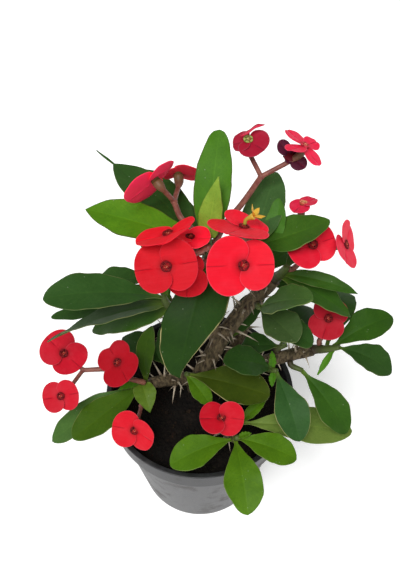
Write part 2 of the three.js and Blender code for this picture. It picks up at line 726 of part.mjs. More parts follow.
// Triangles of a blade whose sections hold upper and lower points of left, middle, right.
function bladeTriangles(sections) {
  const triangles = [];
  for (let i = 0; i < sections - 1; i++) {
    const a = i * 6;
    const b = a + 6;
    for (const k of [0, 2]) {
      triangles.push([a + k, a + k + 2, b + k], [a + k + 2, b + k + 2, b + k]);
      triangles.push([a + k + 3, a + k + 1, b + k + 1], [b + k + 3, a + k + 3, b + k + 1]);
    }
    triangles.push([a + 1, a, b], [a + 1, b, b + 1]);
    triangles.push([a + 4, a + 5, b + 4], [a + 5, b + 5, b + 4]);
  }
  const last = (sections - 1) * 6;
  triangles.push([0, 1, 2], [1, 3, 2], [2, 3, 4], [3, 5, 4]);
  triangles.push([last, last + 2, last + 1], [last + 1, last + 2, last + 3]);
  triangles.push([last + 2, last + 4, last + 3], [last + 3, last + 4, last + 5]);
  return triangles;
}

function shootSolid(shoot) {
  const points = shootPoints(shoot);
  const curve = new THREE.CatmullRomCurve3(points);
  const pieces = [taperedTube(points, shoot.radii, SHOOT_SIDES, 10)];
  for (const leaf of shoot.leaves) {
    pieces.push(leafGeometry(curve.getPointAt(leaf.at), leaf));
  }
  return fuse(pieces);
}

// ---------------------------------------------------------------- blooms and their stalks

// The turn that brings +Z to a way out.
const facing = (way) =>
  new THREE.Quaternion().setFromUnitVectors(new THREE.Vector3(0, 0, 1), way.normalize());

// One kidney-round bract, from the eye out along +X, that bays in at the eye.
function bractGeometry(radius, { long, broad, offset }) {
  const middle = [offset * radius, 0, 0];
  const bay = 1 - (offset - BAY.mouth / radius) / long;
  const rim = [];
  for (let k = 0; k < BRACT.points; k++) {
    const angle = (2 * Math.PI * k) / BRACT.points;
    const back = Math.min(angle, 2 * Math.PI - angle);
    const reach = radius * (1 - bay * Math.exp(-(((Math.PI - back) / BAY.spread) ** 2)));
    const along = offset * radius + long * reach * Math.cos(angle);
    rim.push([along, broad * reach * Math.sin(angle), BRACT.dish * radius]);
  }
  const vertices = [middle, ...rim].flatMap(([x, y, z]) => [
    new THREE.Vector3(x, y, z + BRACT.thick / 2),
    new THREE.Vector3(x, y, z - BRACT.thick / 2),
  ]);
  const triangles = [];
  for (let k = 0; k < BRACT.points; k++) {
    const a = 2 + 2 * k;
    const b = 2 + 2 * ((k + 1) % BRACT.points);
    triangles.push([0, a, b], [1, b + 1, a + 1], [a, a + 1, b], [a + 1, b + 1, b]);
  }
  return closedGeometry(vertices, triangles);
}

// A bloom holds one pair of broad bracts, or two pairs of narrow ones, round its eye. Its
// bracts can have turns, lifts, twists and sizes of their own.
function bloomSolid(bloom) {
  const { pairs = 1, bracts = [] } = bloom;
  const outline = pairs > 1 ? NARROW_BRACT : BRACT;
  const pieces = [];
  for (let k = 0; k < 2 * pairs; k++) {
    const { turn = 0, lift = bloom.lift, twist = BRACT.twist, size = 1 } = bracts[k] ?? {};
    pieces.push(
      bractGeometry((size * bloom.wide) / 2, outline)
        .rotateX(THREE.MathUtils.degToRad(twist))
        .rotateY(-THREE.MathUtils.degToRad(lift))
        .rotateZ(THREE.MathUtils.degToRad(turn + (180 * k) / pairs))
    );
  }
  const eye = new THREE.CylinderGeometry(EYE.radius, 0.8 * EYE.radius, EYE.above + EYE.below, EYE.sides)
    .rotateX(Math.PI / 2)
    .translate(0, 0, (EYE.above - EYE.below) / 2);
  pieces.push(eye);
  for (const piece of pieces) {
    piece.rotateZ(THREE.MathUtils.degToRad(bloom.turn));
    piece.applyQuaternion(facing(vector(bloom.face)));
    piece.translate(...bloom.at);
  }
  return fuse(pieces);
}

// The star of yellow glands that leans out of one bloom's eye: pointed lobes round a cup.
function starSolid() {
  const { lobes, length, width, thick, rise } = STAR;
  const { lean, foot, mouth, sides } = STAR_CUP;
  const bloom = BLOOMS[STAR.bloom];
  const out = vector(bloom.face).normalize();
  const seat = vector(bloom.at).addScaledVector(out, EYE.above + GAP);
  const top = seat.clone().add(vector(lean));
  const bend = seat.clone().addScaledVector(out, 3);
  const pieces = [taperedTube([seat, bend, top], [foot, foot, mouth], sides, 5)];
  const corners = [[0.5, 0], [0.55 * length, -width / 2], [length, 0], [0.55 * length, width / 2]];
  const shape = new THREE.Shape(corners.map(([x, y]) => new THREE.Vector2(x, y)));
  for (let k = 0; k < lobes; k++) {
    pieces.push(
      new THREE.ExtrudeGeometry(shape, { depth: thick, bevelEnabled: false })
        .translate(0, 0, -thick)
        .rotateY(-THREE.MathUtils.degToRad(rise))
        .rotateZ((2 * Math.PI * k) / lobes)
        .applyQuaternion(facing(vector(lean)))
        .translate(...top)
    );
  }
  return fuse(pieces);
}

// A pedicel from the fork, swelling to the cup's radius under its bloom.
function pedicelGeometry(fork, bloom, cup) {
  const out = vector(bloom.face).normalize();
  const below = (distance) => vector(bloom.at).addScaledVector(out, -distance);
  const seat = EYE.below + GAP;
  const points = [fork, below(seat + CUP.depth), below(seat)];
  const radii = [STALK.pedicel, STALK.pedicel, STALK.pedicel, STALK.pedicel, 0.95 * cup, cup];
  return taperedTube(points, radii, STALK_SIDES, 7);
}

function stalkSolid({ side, path, blooms, withered, cup = CUP.radius }) {
  const [shootName, share, toward] = side;
  const shoot = SHOOTS[shootName];
  const curve = new THREE.CatmullRomCurve3(shootPoints(shoot));
  const start = budBeside(curve, share, alongList(shoot.radii, share), toward);
  const points = [...start, ...path.map(vector)];
  const pieces = [taperedTube(points, [STALK.peduncle, STALK.fork], STALK_SIDES, 11)];
  for (const [name, fork] of Object.entries(blooms)) {
    pieces.push(pedicelGeometry(vector(path[fork]), BLOOMS[name], cup));
  }
  const stalk = fuse(pieces);
  return withered ? stalk.add(bloomSolid(withered)) : stalk;
}

// ---------------------------------------------------------------- the whole plant

const material = (color, roughness) => new THREE.MeshStandardMaterial({ color, roughness, metalness: 0 });

const part = new THREE.Group();

function add(name, solid, color, roughness) {
  const mesh = new THREE.Mesh(toGeometry(solid), material(color, roughness));
  mesh.name = name;
  part.add(mesh);
}

add("pot", potSolid(), 0x17161a, 0.45);
add("soil", soilSolid(), 0x1d1713, 0.95);
for (const [name, stem] of Object.entries(STEMS)) {
  add(name, stemSolid(stem), 0x6b5d4e, 0.8);
}
for (const [name, shoot] of Object.entries(SHOOTS)) {
  add(name, shootSolid(shoot), 0x2f5d22, 0.45);
}
for (const [name, stalk] of Object.entries(STALKS)) {
  add(name, stalkSolid(stalk), 0x7a4238, 0.6);
}
for (const [name, bloom] of Object.entries(BLOOMS)) {
  add(name, bloomSolid(bloom), 0xd41f30, 0.5);
}
add("gland_star", starSolid(), 0xd9a92e, 0.5);

export default part;
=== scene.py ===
"""Crown of thorns, Euphorbia milii, in its nursery pot: the look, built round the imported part.

The layout is in millimetres, as the part's is, and make_piece turns it into metres.
"""

import bisect
import math
import random

import bpy
from mathutils import Euler, Matrix, Quaternion, Vector, noise


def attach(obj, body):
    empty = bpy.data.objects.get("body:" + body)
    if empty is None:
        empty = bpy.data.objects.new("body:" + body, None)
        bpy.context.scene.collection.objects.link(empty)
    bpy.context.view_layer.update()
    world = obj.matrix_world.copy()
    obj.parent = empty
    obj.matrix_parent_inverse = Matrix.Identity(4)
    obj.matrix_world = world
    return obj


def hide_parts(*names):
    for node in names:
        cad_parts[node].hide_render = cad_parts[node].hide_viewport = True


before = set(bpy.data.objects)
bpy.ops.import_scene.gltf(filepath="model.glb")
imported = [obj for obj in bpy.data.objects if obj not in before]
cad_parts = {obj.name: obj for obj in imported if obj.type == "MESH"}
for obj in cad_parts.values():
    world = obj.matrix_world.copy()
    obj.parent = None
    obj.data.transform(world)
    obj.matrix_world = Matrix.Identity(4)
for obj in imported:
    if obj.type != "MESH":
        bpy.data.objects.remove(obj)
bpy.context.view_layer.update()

MM = 0.001
UP = Vector((0, 0, 1))
GAP = 0.3

# ---------------- driving dimensions


class Sizes(dict):
    """Named sizes, read as attributes."""

    __getattr__ = dict.__getitem__


POT = Sizes(height=130, collar_height=22, wall=2, floor=2.5, edge=1.5, rounding=0.7, sides=128)
POT_RADIUS = Sizes(rim=75, collar=73, shoulder=69, base=52)
DRAIN = Sizes(count=6, radius=5, circle=34, reach=4, sides=32)

SOIL = Sizes(level=114, swell=2.2, crumb=1.3, clearance=0.8, rings=56, sides=150)
CRUMBS = Sizes(count=520, reach=64, smallest=0.7, growth=1.9, flat=0.7, sides=6, raised=0.4, seed=5)
CRUMB_TONES = [(1, 1, 1, 1), (1.6, 1.4, 1.2, 1), (0.6, 0.6, 0.6, 1), (2.6, 2.1, 1.6, 1)]

STEM = Sizes(sides=20, step=2.2)
SHOOT = Sizes(sides=18, step=1.2)
BARK = Sizes(ridges=0.1, fine_ridges=0.05, finer=2.7, along=14, branch_seed=5.3, shoot_seed=2.5)
BUD = Sizes(side=2.5, end=3)

# Long spines stand in pairs, and short thin ones between them are turned a little further.
SPINE = Sizes(spacing=11, spread=0.55, sunk=1.2, rise=0.25, droop=0.12, bare=6, sides=7)
LONG_SPINE = Sizes(radius=1.3, shortest=10, longest=20, turn=0, shift=0, seed=7919)
THIN_SPINE = Sizes(radius=0.975, shortest=5, longest=13, turn=1.5, shift=0.5, seed=104729)
SPINE_TAPER = [1.25, 0.66, 0.5, 0.36, 0.2, 0.04]
GOLDEN_TURN = 2.4

LEAF = Sizes(thick=0.9, edge_thick=0.5, neck=1.6, tip=0.5, fold=0.16, rib=0.55, rib_wide=1.1)
LEAF_EDGE = Sizes(wave=0.9, waves=11, ripple=0.45, ripples=29, uneven=0.09, fine=0.035)
LEAF_ROWS = 26
HALF_COLUMNS = [0.06, 0.17, 0.36, 0.56, 0.74, 0.88, 0.965, 1]
LEAF_COLUMNS = [*(-column for column in reversed(HALF_COLUMNS)), 0, *HALF_COLUMNS]

# Where a leaf is widest, how full it is towards its heel and its nose, and how long its tail is.
LEAF_FORMS = {
    "spoon": Sizes(peak=0.62, heel=1.0, nose=0.55),
    "oval": Sizes(peak=0.55, heel=0.8, nose=0.6),
    "strap": Sizes(peak=0.46, heel=0.6, nose=0.42),
    "lance": Sizes(peak=0.48, heel=0.8, nose=0.75),
    "heart": Sizes(peak=0.36, heel=0.5, nose=0.9),
    "paddle": Sizes(peak=0.6, heel=0.9, nose=0.75),
    "egg": Sizes(peak=0.4, heel=0.6, nose=0.6),
    "slanted": Sizes(peak=0.32, heel=0.5, nose=1.4),
    "blunt": Sizes(peak=0.6, heel=0.4, nose=0.36, full=0.8),
    "tailed": Sizes(peak=0.5, heel=0.8, nose=0.7, tail=0.16),
}

# A bract's lengths are shares of its bloom's radius, and its thickness and ripple millimetres.
BRACT = Sizes(thick=0.6, long=0.65, broad=0.82, offset=0.36, dish=0.06, twist=8, notch=0.03)
NARROW_BRACT = Sizes(BRACT, long=0.44, broad=0.42, offset=0.56, notch=0)
BRACT_BAY = Sizes(floor=0.6, wide=0.45, notch_wide=0.42)
BRACT_EDGE = Sizes(ripple=0.35, ripples=3, fine=0.14, fines=7, seed_step=1.7)
CREASE = Sizes(deep=0.45, wide=0.9, start=2, full=5)
BRACT_SIDES = 56
BRACT_RINGS = [0.03, 0.2, 0.38, 0.55, 0.7, 0.82, 0.91, 0.97, 1]

# Inside an eye, lengths are shares of its radius and heights shares of how far it stands up.
EYE = Sizes(radius=2.9, above=1.6, below=1.6, sides=24, smallest=0.7, growth=80, largest=1.15)
GLANDS = Sizes(count=5, first=12, out=0.76, up=0.6, across=0.46, along=0.26, high=0.35)
THREADS = Sizes(count=9, foot=0.12, rooted=0.1, reach=(0.5, 0.95), sway=0.2, up=0.95, jitter=12)
THREAD = Sizes(thick=0.26, droop=0.3)
STAMENS = Sizes(count=4, reach=0.3, up=0.75, radius=0.24, high=0.26)
KIND = Sizes(hollow=0, gland=0.35, thread=0.7, stamen=1)

STAR = Sizes(bloom="bloom_center_top_right", lobes=5, length=7, width=3.6, thick=1, rise=30)
STAR_CUP = Sizes(lean=(5, 1.5, 5.5), foot=1.1, mouth=2.2, neck=3, sides=16, step=0.8)
CUP = Sizes(radius=2.6, depth=5)
STALK = Sizes(peduncle=2.1, fork=1.8, pedicel=1.6, sides=14, step=1.5, fine_step=1.2)
KNOT = Sizes(wide=1.3, high=1.15)
STRIP = Sizes(
    path=[(-5, 0, 3), (0, 1, 5.6), (5, 3.4, 8), (10, 4.4, 8.2)],
    radii=[0.5, 1.1, 0.8, 1.2, 0.3],
    tone=(0.9, 5, 4, 1),
    sides=8,
    step=1,
)
WITHERED = Sizes(seed=3, lump=4.5)


def paint(red, green, blue, alpha=1.0):
    """A screen colour from 0 to 255 as the linear colour that a shader takes."""
    shares = (value / 255 for value in (red, green, blue))
    return (*(s / 12.92 if s < 11 / 255 else ((s + 0.055) / 1.055) ** 2.4 for s in shares), alpha)


# Leaf colours, with painted shade: leaves low or deep in the plant are darker for the shade there.
# The alpha is how pale the leaf's margin is, or, below 0, how dark.
LEAF_TINTS = {
    "fresh": paint(67, 114, 20, -0.8),
    "young": paint(126, 158, 54, -0.6),
    "bright": paint(79, 126, 17, -0.7),
    "lime": paint(74, 112, 13, 0.2),
    "green": paint(46, 82, 17, 0.3),
    "hanging": paint(46, 82, 36, 0.6),
    "deep": paint(28, 57, 8, 1.0),
    "broad": paint(47, 80, 31, 0.3),
    "dark": paint(41, 72, 24, 0.2),
    "grey": paint(60, 82, 42, 0.3),
    "slate": paint(48, 72, 34, 0.3),
    "sage": paint(66, 99, 42, 0.3),
    "hazy": paint(60, 92, 46, 0.2),
    "pale": paint(66, 110, 34, 0.1),
    "right": paint(56, 92, 22, 0.3),
    "budding": paint(80, 106, 28, 0.2),
    "moss": paint(102, 124, 53, 0.3),
    "olive": paint(60, 76, 14, 0.9),
    "gold": paint(46, 72, 8, 0.3),
    "low": paint(60, 90, 15, 0.3),
}

# ---------------- the plant's layout


def blade(at, tip, wide, bow, form, tint, **more):
    """A leaf: the share of its shoot where it starts, its tip, width, arch, form and colour.

    It may also have a sideways bend, a roll or twist in degrees, and its own form on the right.
    """
    return Sizes(at=at, tip=tip, wide=wide, bow=bow, form=form, tint=tint, **more)


def flower(at, face, wide, turn, lift, tone=(1, 1, 1), **more):
    """A bloom: its middle, the way it faces, its width, and its bracts' turn and lift in degrees.

    Its tone is what its red is multiplied by: partly the bloom's own red, and partly painted
    light and shade, darker for low blooms and brighter for blooms that sit in shadow. It may
    also have its own kind of eye, a dried strip, two pairs of narrow bracts, and what is
    different about each of its bracts.
    """
    return Sizes(at=at, face=face, wide=wide, turn=turn, lift=lift, tone=tone, **more)


def limb(radii, *path):
    """A branch of a woody stem: its radii from foot to tip, and the points that it runs through."""
    return Sizes(radii=radii, path=path)


def woody(spine_seed, *branches):
    return Sizes(spine_seed=spine_seed, branches=branches)


def leafy(*leaves, **growth):
    """A green shoot: its leaves, its path and radii, and the stem's branch that it grows on.

    A shoot at its branch's side also has the share of the branch and the point it buds toward.
    """
    return Sizes(leaves=leaves, **growth)


# Woody stems. A trunk's branches start inside it; every other stem stands in the soil.
STEMS = {
    "stem_center": woody(
        3,
        limb(
            [7.5, 7, 6, 5], (-3, 11, 97), (-3, 11, 120), (4, 8, 152), (16, 9, 192), (33, 15, 222),
            (46, 17, 242), (51, 17, 251),
        ),
        limb([5.5, 4.2], (13, 9, 182), (8, 7, 224), (6, 4, 260), (5, 2, 287)),
        limb([4, 3.6], (7, 4, 252), (18, 7, 264), (31, 8, 279)),
        limb([5.8, 4.4], (-2, 10, 130), (-20, 3, 142), (-38, -6, 151)),
    ),
    "stem_right": woody(
        13,
        limb([6.5, 4.4], (22, 10, 97), (22, 10, 120), (34, 8, 146), (54, 5, 167), (84, 3, 184)),
    ),
    "stem_front": woody(
        17,
        limb([4.5, 3.5], (8, -22, 97), (8, -22, 116), (17, -36, 133), (24, -47, 141)),
    ),
    "stem_back_left": woody(
        23,
        limb([5.5, 4.2], (-22, 32, 97), (-22, 32, 120), (-20, 27, 165), (-21, 20, 212)),
    ),
    "stem_back_right": woody(
        29,
        limb([5, 4], (24, 36, 97), (24, 36, 120), (36, 46, 152), (44, 56, 186)),
    ),
    "stem_back": woody(
        31,
        limb([4.5, 3.5], (-10, 46, 97), (-10, 46, 119), (-18, 58, 144), (-30, 74, 164)),
    ),
}

# Green shoots, each on the end of a stem's branch or on a bud at its side.
SHOOTS = {
    "shoot_center": leafy(
        blade(0.9, (12, 54, 353), 23, 5, "strap", "fresh"),
        blade(0.95, (11, 18, 348), 15, 2, "heart", "young"),
        blade(0.7, (-71, 18, 320), 28, 2, "paddle", "bright", roll=-6),
        blade(0.4, (-69, 74, 318), 34, 4, "tailed", "broad", roll=6),
        blade(0.45, (-46, 58, 314), 32, 3, "spoon", "dark", roll=4),
        blade(0.2, (-13, -55, 240), 42, 8, "slanted", "deep", right="blunt"),
        blade(0.5, (5, 80, 258), 18, 6, "spoon", "dark"),
        end=("stem_center", 1), path=[(5, 2, 300), (5, 3, 312)], radii=[4.2, 2.2],
    ),
    "shoot_upper_right": leafy(
        blade(0.9, (50.5, 60.8, 310.7), 26, 2, "egg", "hazy"),
        blade(0.7, (81, 14, 314), 28, -1, "lance", "right", right="oval"),
        blade(0.1, (51, 35, 312.5), 14, 2, "spoon", "pale", bend=6),
        end=("stem_center", 2), path=[(34, 10, 290), (35, 12, 300)], radii=[3.4, 2.2],
    ),
    "shoot_right": leafy(
        blade(0.5, (106, 1, 256), 11, 4, "lance", "green", roll=25),
        blade(0.35, (104, -3, 235), 20, 4, "lance", "green"),
        blade(0.7, (86, 62, 238), 26, 6, "spoon", "green"),
        end=("stem_center", 0), path=[(55, 15, 260), (58, 13, 270)], radii=[4, 2.2],
    ),
    "sprig_upper_right": leafy(
        blade(0.95, (73, -14, 270), 28, 4, "oval", "sage", bend=2),
        blade(0.5, (65, -25, 237), 27, 2, "spoon", "grey"),
        blade(0.2, (78, -17, 220), 22, 1, "spoon", "dark"),
        side=("stem_center", 0, 0.87, (44, 2, 236)), path=[(42, 5, 235)], radii=[2.6, 1.9],
    ),
    "shoot_far_right": leafy(
        blade(0.7, (142, 18, 206), 26, 6, "spoon", "green"),
        blade(0.5, (112, 56, 188), 28, 8, "spoon", "dark"),
        blade(0.8, (87, -15, 178), 5, -1, "lance", "fresh"),
        blade(0.9, (138, -22, 192), 24, 6, "spoon", "dark"),
        end=("stem_right", 0), path=[(93, 0, 190), (102, -3, 197)], radii=[3.8, 2],
    ),
    "sprig_middle_right": leafy(
        blade(0.9, (50, 46, 204), 20, 3, "lance", "dark"),
        side=("stem_center", 0, 0.47, (30, 24, 180)), path=[(25, 19, 181)], radii=[2.6, 1.9],
    ),
    "sprig_right": leafy(
        blade(0.9, (75, 2, 212), 24, 3, "spoon", "dark"),
        blade(0.6, (31, 14, 170), 22, 3, "spoon", "dark"),
        blade(0.5, (88, 48, 176), 24, 6, "spoon", "dark"),
        side=("stem_right", 0, 0.78, (64, 10, 190)), path=[(65, 8, 184)], radii=[2.6, 1.9],
    ),
    "sprig_under_right": leafy(
        blade(0.9, (110, -46, 146), 26, 4, "spoon", "green"),
        side=("stem_right", 0, 0.84, (80, -14, 174)), path=[(77, -8, 173)], radii=[2.4, 1.8],
    ),
    "sprig_lower_right": leafy(
        blade(0.9, (73, -57, 154), 26, 5, "spoon", "hanging"),
        blade(0.8, (17, -13, 194), 27, 5, "spoon", "dark"),
        blade(0.7, (54, 4, 181), 7, 1, "lance", "fresh", roll=30),
        blade(0.8, (54, -18, 166), 6, 1, "lance", "fresh", roll=30),
        side=("stem_right", 0, 0.67, (58, -8, 178)), path=[(58, -8, 172)], radii=[2.8, 2],
    ),
    "sprig_lower_center": leafy(
        blade(0.9, (53, -20, 156), 34, 3, "spoon", "olive"),
        blade(0.95, (8, -24, 148), 15, 2, "oval", "lime"),
        side=("stem_center", 0, 0.33, (-7, -10, 156)), path=[(-11, -4, 161)], radii=[2.6, 1.9],
    ),
    "shoot_front": leafy(
        blade(0.3, (-22, -68, 137), 26, 6, "spoon", "lime"),
        blade(0.5, (71, -66, 143), 24, 5, "spoon", "lime"),
        blade(0.4, (34, -106, 138), 28, 7, "spoon", "lime"),
        blade(0.9, (38, -50, 153), 5, 1, "lance", "lime"),
        end=("stem_front", 0), path=[(27, -50, 146), (28, -52, 150)], radii=[3.2, 2],
    ),
    "sprig_front": leafy(
        blade(0.9, (116, -40, 137), 30, 3, "spoon", "moss"),
        blade(0.95, (51, -18, 147), 9, 1, "lance", "lime"),
        side=("stem_front", 0, 0.86, (32, -36, 140)), path=[(31, -35, 142)], radii=[2.6, 1.9],
    ),
    "shoot_left": leafy(
        blade(0.4, (-35, 10, 205), 14, -2, "oval", "gold", bend=-4),
        blade(0.85, (-38, -30, 148), 17, 2, "heart", "budding"),
        blade(0.6, (-93, -55, 154), 27, 1, "spoon", "low"),
        blade(0.2, (-114, -43, 126), 25, 7, "spoon", "sage"),
        blade(0.95, (-62, -16, 158), 6, 1, "lance", "fresh"),
        end=("stem_center", 3), path=[(-42, -8, 154), (-46, -9, 157)], radii=[3.4, 2],
    ),
    "sprig_left": leafy(
        blade(0.9, (-30, 18, 191), 12, 1, "lance", "dark"),
        blade(0.5, (-62, 38, 150), 22, 6, "spoon", "dark"),
        side=("stem_center", 3, 0.6, (-26, 14, 160)), path=[(-27, 8, 156)], radii=[2.4, 1.8],
    ),
    "shoot_back_left": leafy(
        blade(0.9, (-107, 2, 249), 33, 7, "spoon", "broad"),
        blade(0.5, (-109, -7, 210), 24, 7, "lance", "slate", roll=10, twist=40),
        blade(0.2, (-82, 20, 184), 32, 4, "egg", "green"),
        blade(0.2, (-40, 90, 190), 28, 8, "spoon", "green"),
        blade(0.7, (-20, 90, 222), 26, 8, "spoon", "green"),
        blade(0.1, (-2, -6, 196), 16, 3, "spoon", "dark"),
        blade(0.3, (-110, 18, 205), 14, 4, "spoon", "dark"),
        end=("stem_back_left", 0), path=[(-24, 18, 222), (-26, 17, 232)], radii=[3.8, 2.2],
    ),
    "shoot_back_right": leafy(
        blade(0.9, (30, 122, 205), 30, 8, "spoon", "green"),
        blade(0.7, (88, 102, 190), 30, 8, "spoon", "green"),
        blade(0.4, (104, 50, 190), 26, 6, "spoon", "green"),
        blade(0.3, (4, 100, 186), 26, 5, "spoon", "dark"),
        end=("stem_back_right", 0), path=[(46, 60, 196), (47, 62, 206)], radii=[3.8, 2.2],
    ),
    "shoot_back": leafy(
        blade(0.9, (-42, 140, 172), 28, 8, "spoon", "green"),
        blade(0.7, (-92, 84, 150), 28, 8, "spoon", "dark"),
        blade(0.4, (-84, 58, 152), 24, 6, "spoon", "dark"),
        blade(0.3, (0, 116, 158), 26, 6, "spoon", "green"),
        end=("stem_back", 0), path=[(-33, 79, 170), (-35, 82, 176)], radii=[3.2, 2],
    ),
}

# Each bloom's tone holds painted light and shade as well as its own red: low blooms are darker, and
# blooms in shadow brighter.
BLOOMS = {
    "bloom_center_left": flower(
        (-19.5, -31, 324), (-0.02, -0.58, 0.81), 37, 9, 2, tone=(0.72, 0.45, 0.55),
    ),
    "bloom_center_right": flower(
        (25, -31, 325), (0.08, -0.68, 0.73), 40, 3, 2, tone=(0.93, 0.85, 1),
        bracts=[dict(twist=-6, size=0.9), dict(twist=-12, size=1.1)],
    ),
    "bloom_center_low": flower(
        (-7.5, -18, 303), (0, -0.7, 0.71), 31, 88, 3, tone=(0.74, 0.4, 0.55),
        bracts=[dict(lift=-14, size=0.78), dict(size=1)],
    ),
    "bloom_center_top_left": flower(
        (-18.5, -14, 333), (-0.22, 0.16, 0.96), 38, 0, 0, tone=(1.15, 0.7, 0.9),
        bracts=[dict(turn=-24, lift=22, twist=-8, size=0.94), dict(turn=11, twist=19, size=1.04)],
    ),
    "bloom_center_back": flower(
        (-6, -4, 319), (0.05, 0.26, 0.96), 25, -10, 3, tone=(1.5, 2.3, 2.3),
    ),
    "bloom_center_top_right": flower(
        (26, -5, 329), (0.22, 0.37, 0.9), 40, 61, 1, tone=(1.2, 0.9, 1.3),
        bracts=[dict(turn=12, size=0.87), dict(turn=-4, lift=3, size=1.16)],
    ),
    "bloom_upper_left": flower(
        (-27.5, 23, 341), (-0.64, 0.65, 0.4), 38, 12, -1, tone=(1.75, 3.4, 4),
        bracts=[dict(turn=2, twist=0, size=0.84), dict(turn=-2, twist=9, size=1.14)],
    ),
    "bloom_upper_left_back": flower(
        (-14, 47, 324), (-0.08, 0.89, 0.44), 28, -5, -16, tone=(1.5, 2.8, 2.2),
        bracts=[dict(turn=6, twist=0, size=1.16), dict(turn=12, twist=0, size=0.76)],
    ),
    "bloom_upper_right": flower(
        (30, 54, 345), (0.05, -0.17, 0.98), 30, -43, 3, tone=(0.46, 1.3, 1.4), eye="green",
        strip=True,
        bracts=[dict(size=0.9), dict(turn=47, lift=-30, size=0.7)],
    ),
    "bloom_upper_far_right": flower(
        (65.5, 52, 342), (0.34, 0.14, 0.93), 32, 41, -5, tone=(1.1, 2.6, 3.1), eye="rosy", pairs=2,
        bracts=[
            dict(turn=5, size=0.89), dict(turn=-6, size=1.08), dict(twist=19),
            dict(lift=-18, twist=-5),
        ],
    ),
    "bloom_right_small": flower(
        (68, 41, 302), (0.13, 0.34, 0.93), 19, 24, 14, tone=(0.86, 2.4, 2.6), eye="peach",
        bracts=[dict(turn=-3, twist=-10), dict(turn=13, lift=-34, twist=3)],
    ),
    "bloom_right_behind": flower(
        (72, 10, 296), (0.1, -0.5, 0.86), 36, 20, 4, tone=(0.86, 1.2, 1.3),
        bracts=[dict(size=0.84), dict(size=1)],
    ),
    "bloom_right_edge": flower((93, 10, 296), (0.85, -0.2, 0.5), 32, 80, 4, tone=(1.05, 1.5, 2)),
    "bloom_left": flower(
        (-61, -8, 184), (-0.24, -0.41, 0.88), 34, -59, 14, tone=(0.5, 0.4, 0.5),
        bracts=[dict(twist=4, size=1.11), dict(turn=-2, lift=-8, twist=-4, notch=0.3)],
    ),
    "bloom_left_edge": flower((-102, 1, 183), (0.23, -0.72, 0.65), 36, -39, -8, tone=(0.67, 1, 1)),
    "bloom_left_low": flower(
        (-102, -30, 173), (-0.12, -0.56, 0.82), 28, 9, 2, tone=(0.67, 0.9, 0.9),
    ),
    "bloom_front_left": flower(
        (-48, -50, 158), (-0.07, -0.76, 0.65), 34, -18, -3, tone=(0.76, 0.8, 0.8),
        bracts=[dict(turn=-7, lift=18, twist=22), dict(turn=7, twist=5)],
    ),
    "bloom_front": flower(
        (15.5, -44, 166), (0.06, -0.49, 0.87), 34, 1, -2, tone=(0.68, 0.9, 0.85),
        bracts=[dict(turn=-4, twist=25), dict(turn=3, twist=30, size=0.94)],
    ),
    "bloom_right": flower(
        (90.5, 2, 226), (-0.05, -0.49, 0.87), 31, -109, 2, tone=(0.5, 0.85, 0.8),
    ),
    "bloom_back": flower((-28, 104, 204), (-0.1, 0.6, 0.8), 34, 10, 4),
}

# Bloom stalks, with the shoot they bud from and, for each bloom, the point of the path where it
# forks off. One has wider cups, and one bears a withered bloom as well.
STALKS = {
    "stalk_center": Sizes(
        side=("shoot_center", 0.75, (7, -12, 312)), path=[(5, -9, 315)],
        blooms=dict(bloom_center_left=0, bloom_center_right=0),
    ),
    "stalk_center_low": Sizes(
        side=("shoot_center", 0.3, (0, -12, 294)), path=[(1, -5, 293)],
        blooms=dict(bloom_center_low=0),
    ),
    "stalk_center_top_left": Sizes(
        side=("shoot_center", 0.55, (-8, -6, 306)), path=[(-4, -3, 306)],
        blooms=dict(bloom_center_top_left=0, bloom_center_back=0),
    ),
    "stalk_center_top_right": Sizes(
        side=("shoot_upper_right", 0.8, (30, 2, 306)), path=[(31, 4, 307)],
        blooms=dict(bloom_center_top_right=0),
    ),
    "stalk_upper_left": Sizes(
        side=("shoot_center", 0.86, (-12, 7, 312)),
        path=[(-5, 7, 314), (-12, 14, 317), (-16, 20, 325)],
        blooms=dict(bloom_upper_left=2, bloom_upper_left_back=2), cup=3.2,
    ),
    "stalk_upper_right": Sizes(
        side=("shoot_center", 0.7, (20, 14, 312)),
        path=[(15, 11, 313), (27, 26, 318), (39, 44, 323)],
        blooms=dict(bloom_upper_right=2, bloom_upper_far_right=2),
        withered=flower(
            (57, 52, 333), (0.15, -0.45, 0.88), 23, -40, 12, pairs=2,
            bracts=[
                dict(size=1.1), dict(size=0.6), dict(turn=-8, size=1.05), dict(turn=20, size=0.5),
            ],
        ),
    ),
    "stalk_right": Sizes(
        side=("shoot_right", 0.85, (74, 14, 276)), path=[(67, 15, 273)],
        blooms=dict(bloom_right_behind=0, bloom_right_edge=0, bloom_right_small=0),
    ),
    "stalk_far_right": Sizes(
        side=("shoot_far_right", 0.3, (92, 6, 200)), path=[(91, 6, 200)],
        blooms=dict(bloom_right=0),
    ),
    "stalk_left": Sizes(
        side=("shoot_left", 0.93, (-53, -12, 165)),
        path=[(-53, -11, 166), (-66, -4, 167), (-89, -4, 167)],
        blooms=dict(bloom_left=0, bloom_left_edge=2, bloom_left_low=2),
    ),
    "stalk_front_left": Sizes(
        side=("shoot_left", 0.3, (-44, -24, 144)), path=[(-45, -22, 144)],
        blooms=dict(bloom_front_left=0),
    ),
    "stalk_front": Sizes(
        side=("shoot_front", 0.7, (20, -44, 152)), path=[(21, -45, 151)],
        blooms=dict(bloom_front=0),
    ),
    "stalk_back": Sizes(
        side=("shoot_back", 0.8, (-30, 90, 186)), path=[(-31, 90, 188)], blooms=dict(bloom_back=0),
    ),
}

# ---------------- curves and random streams


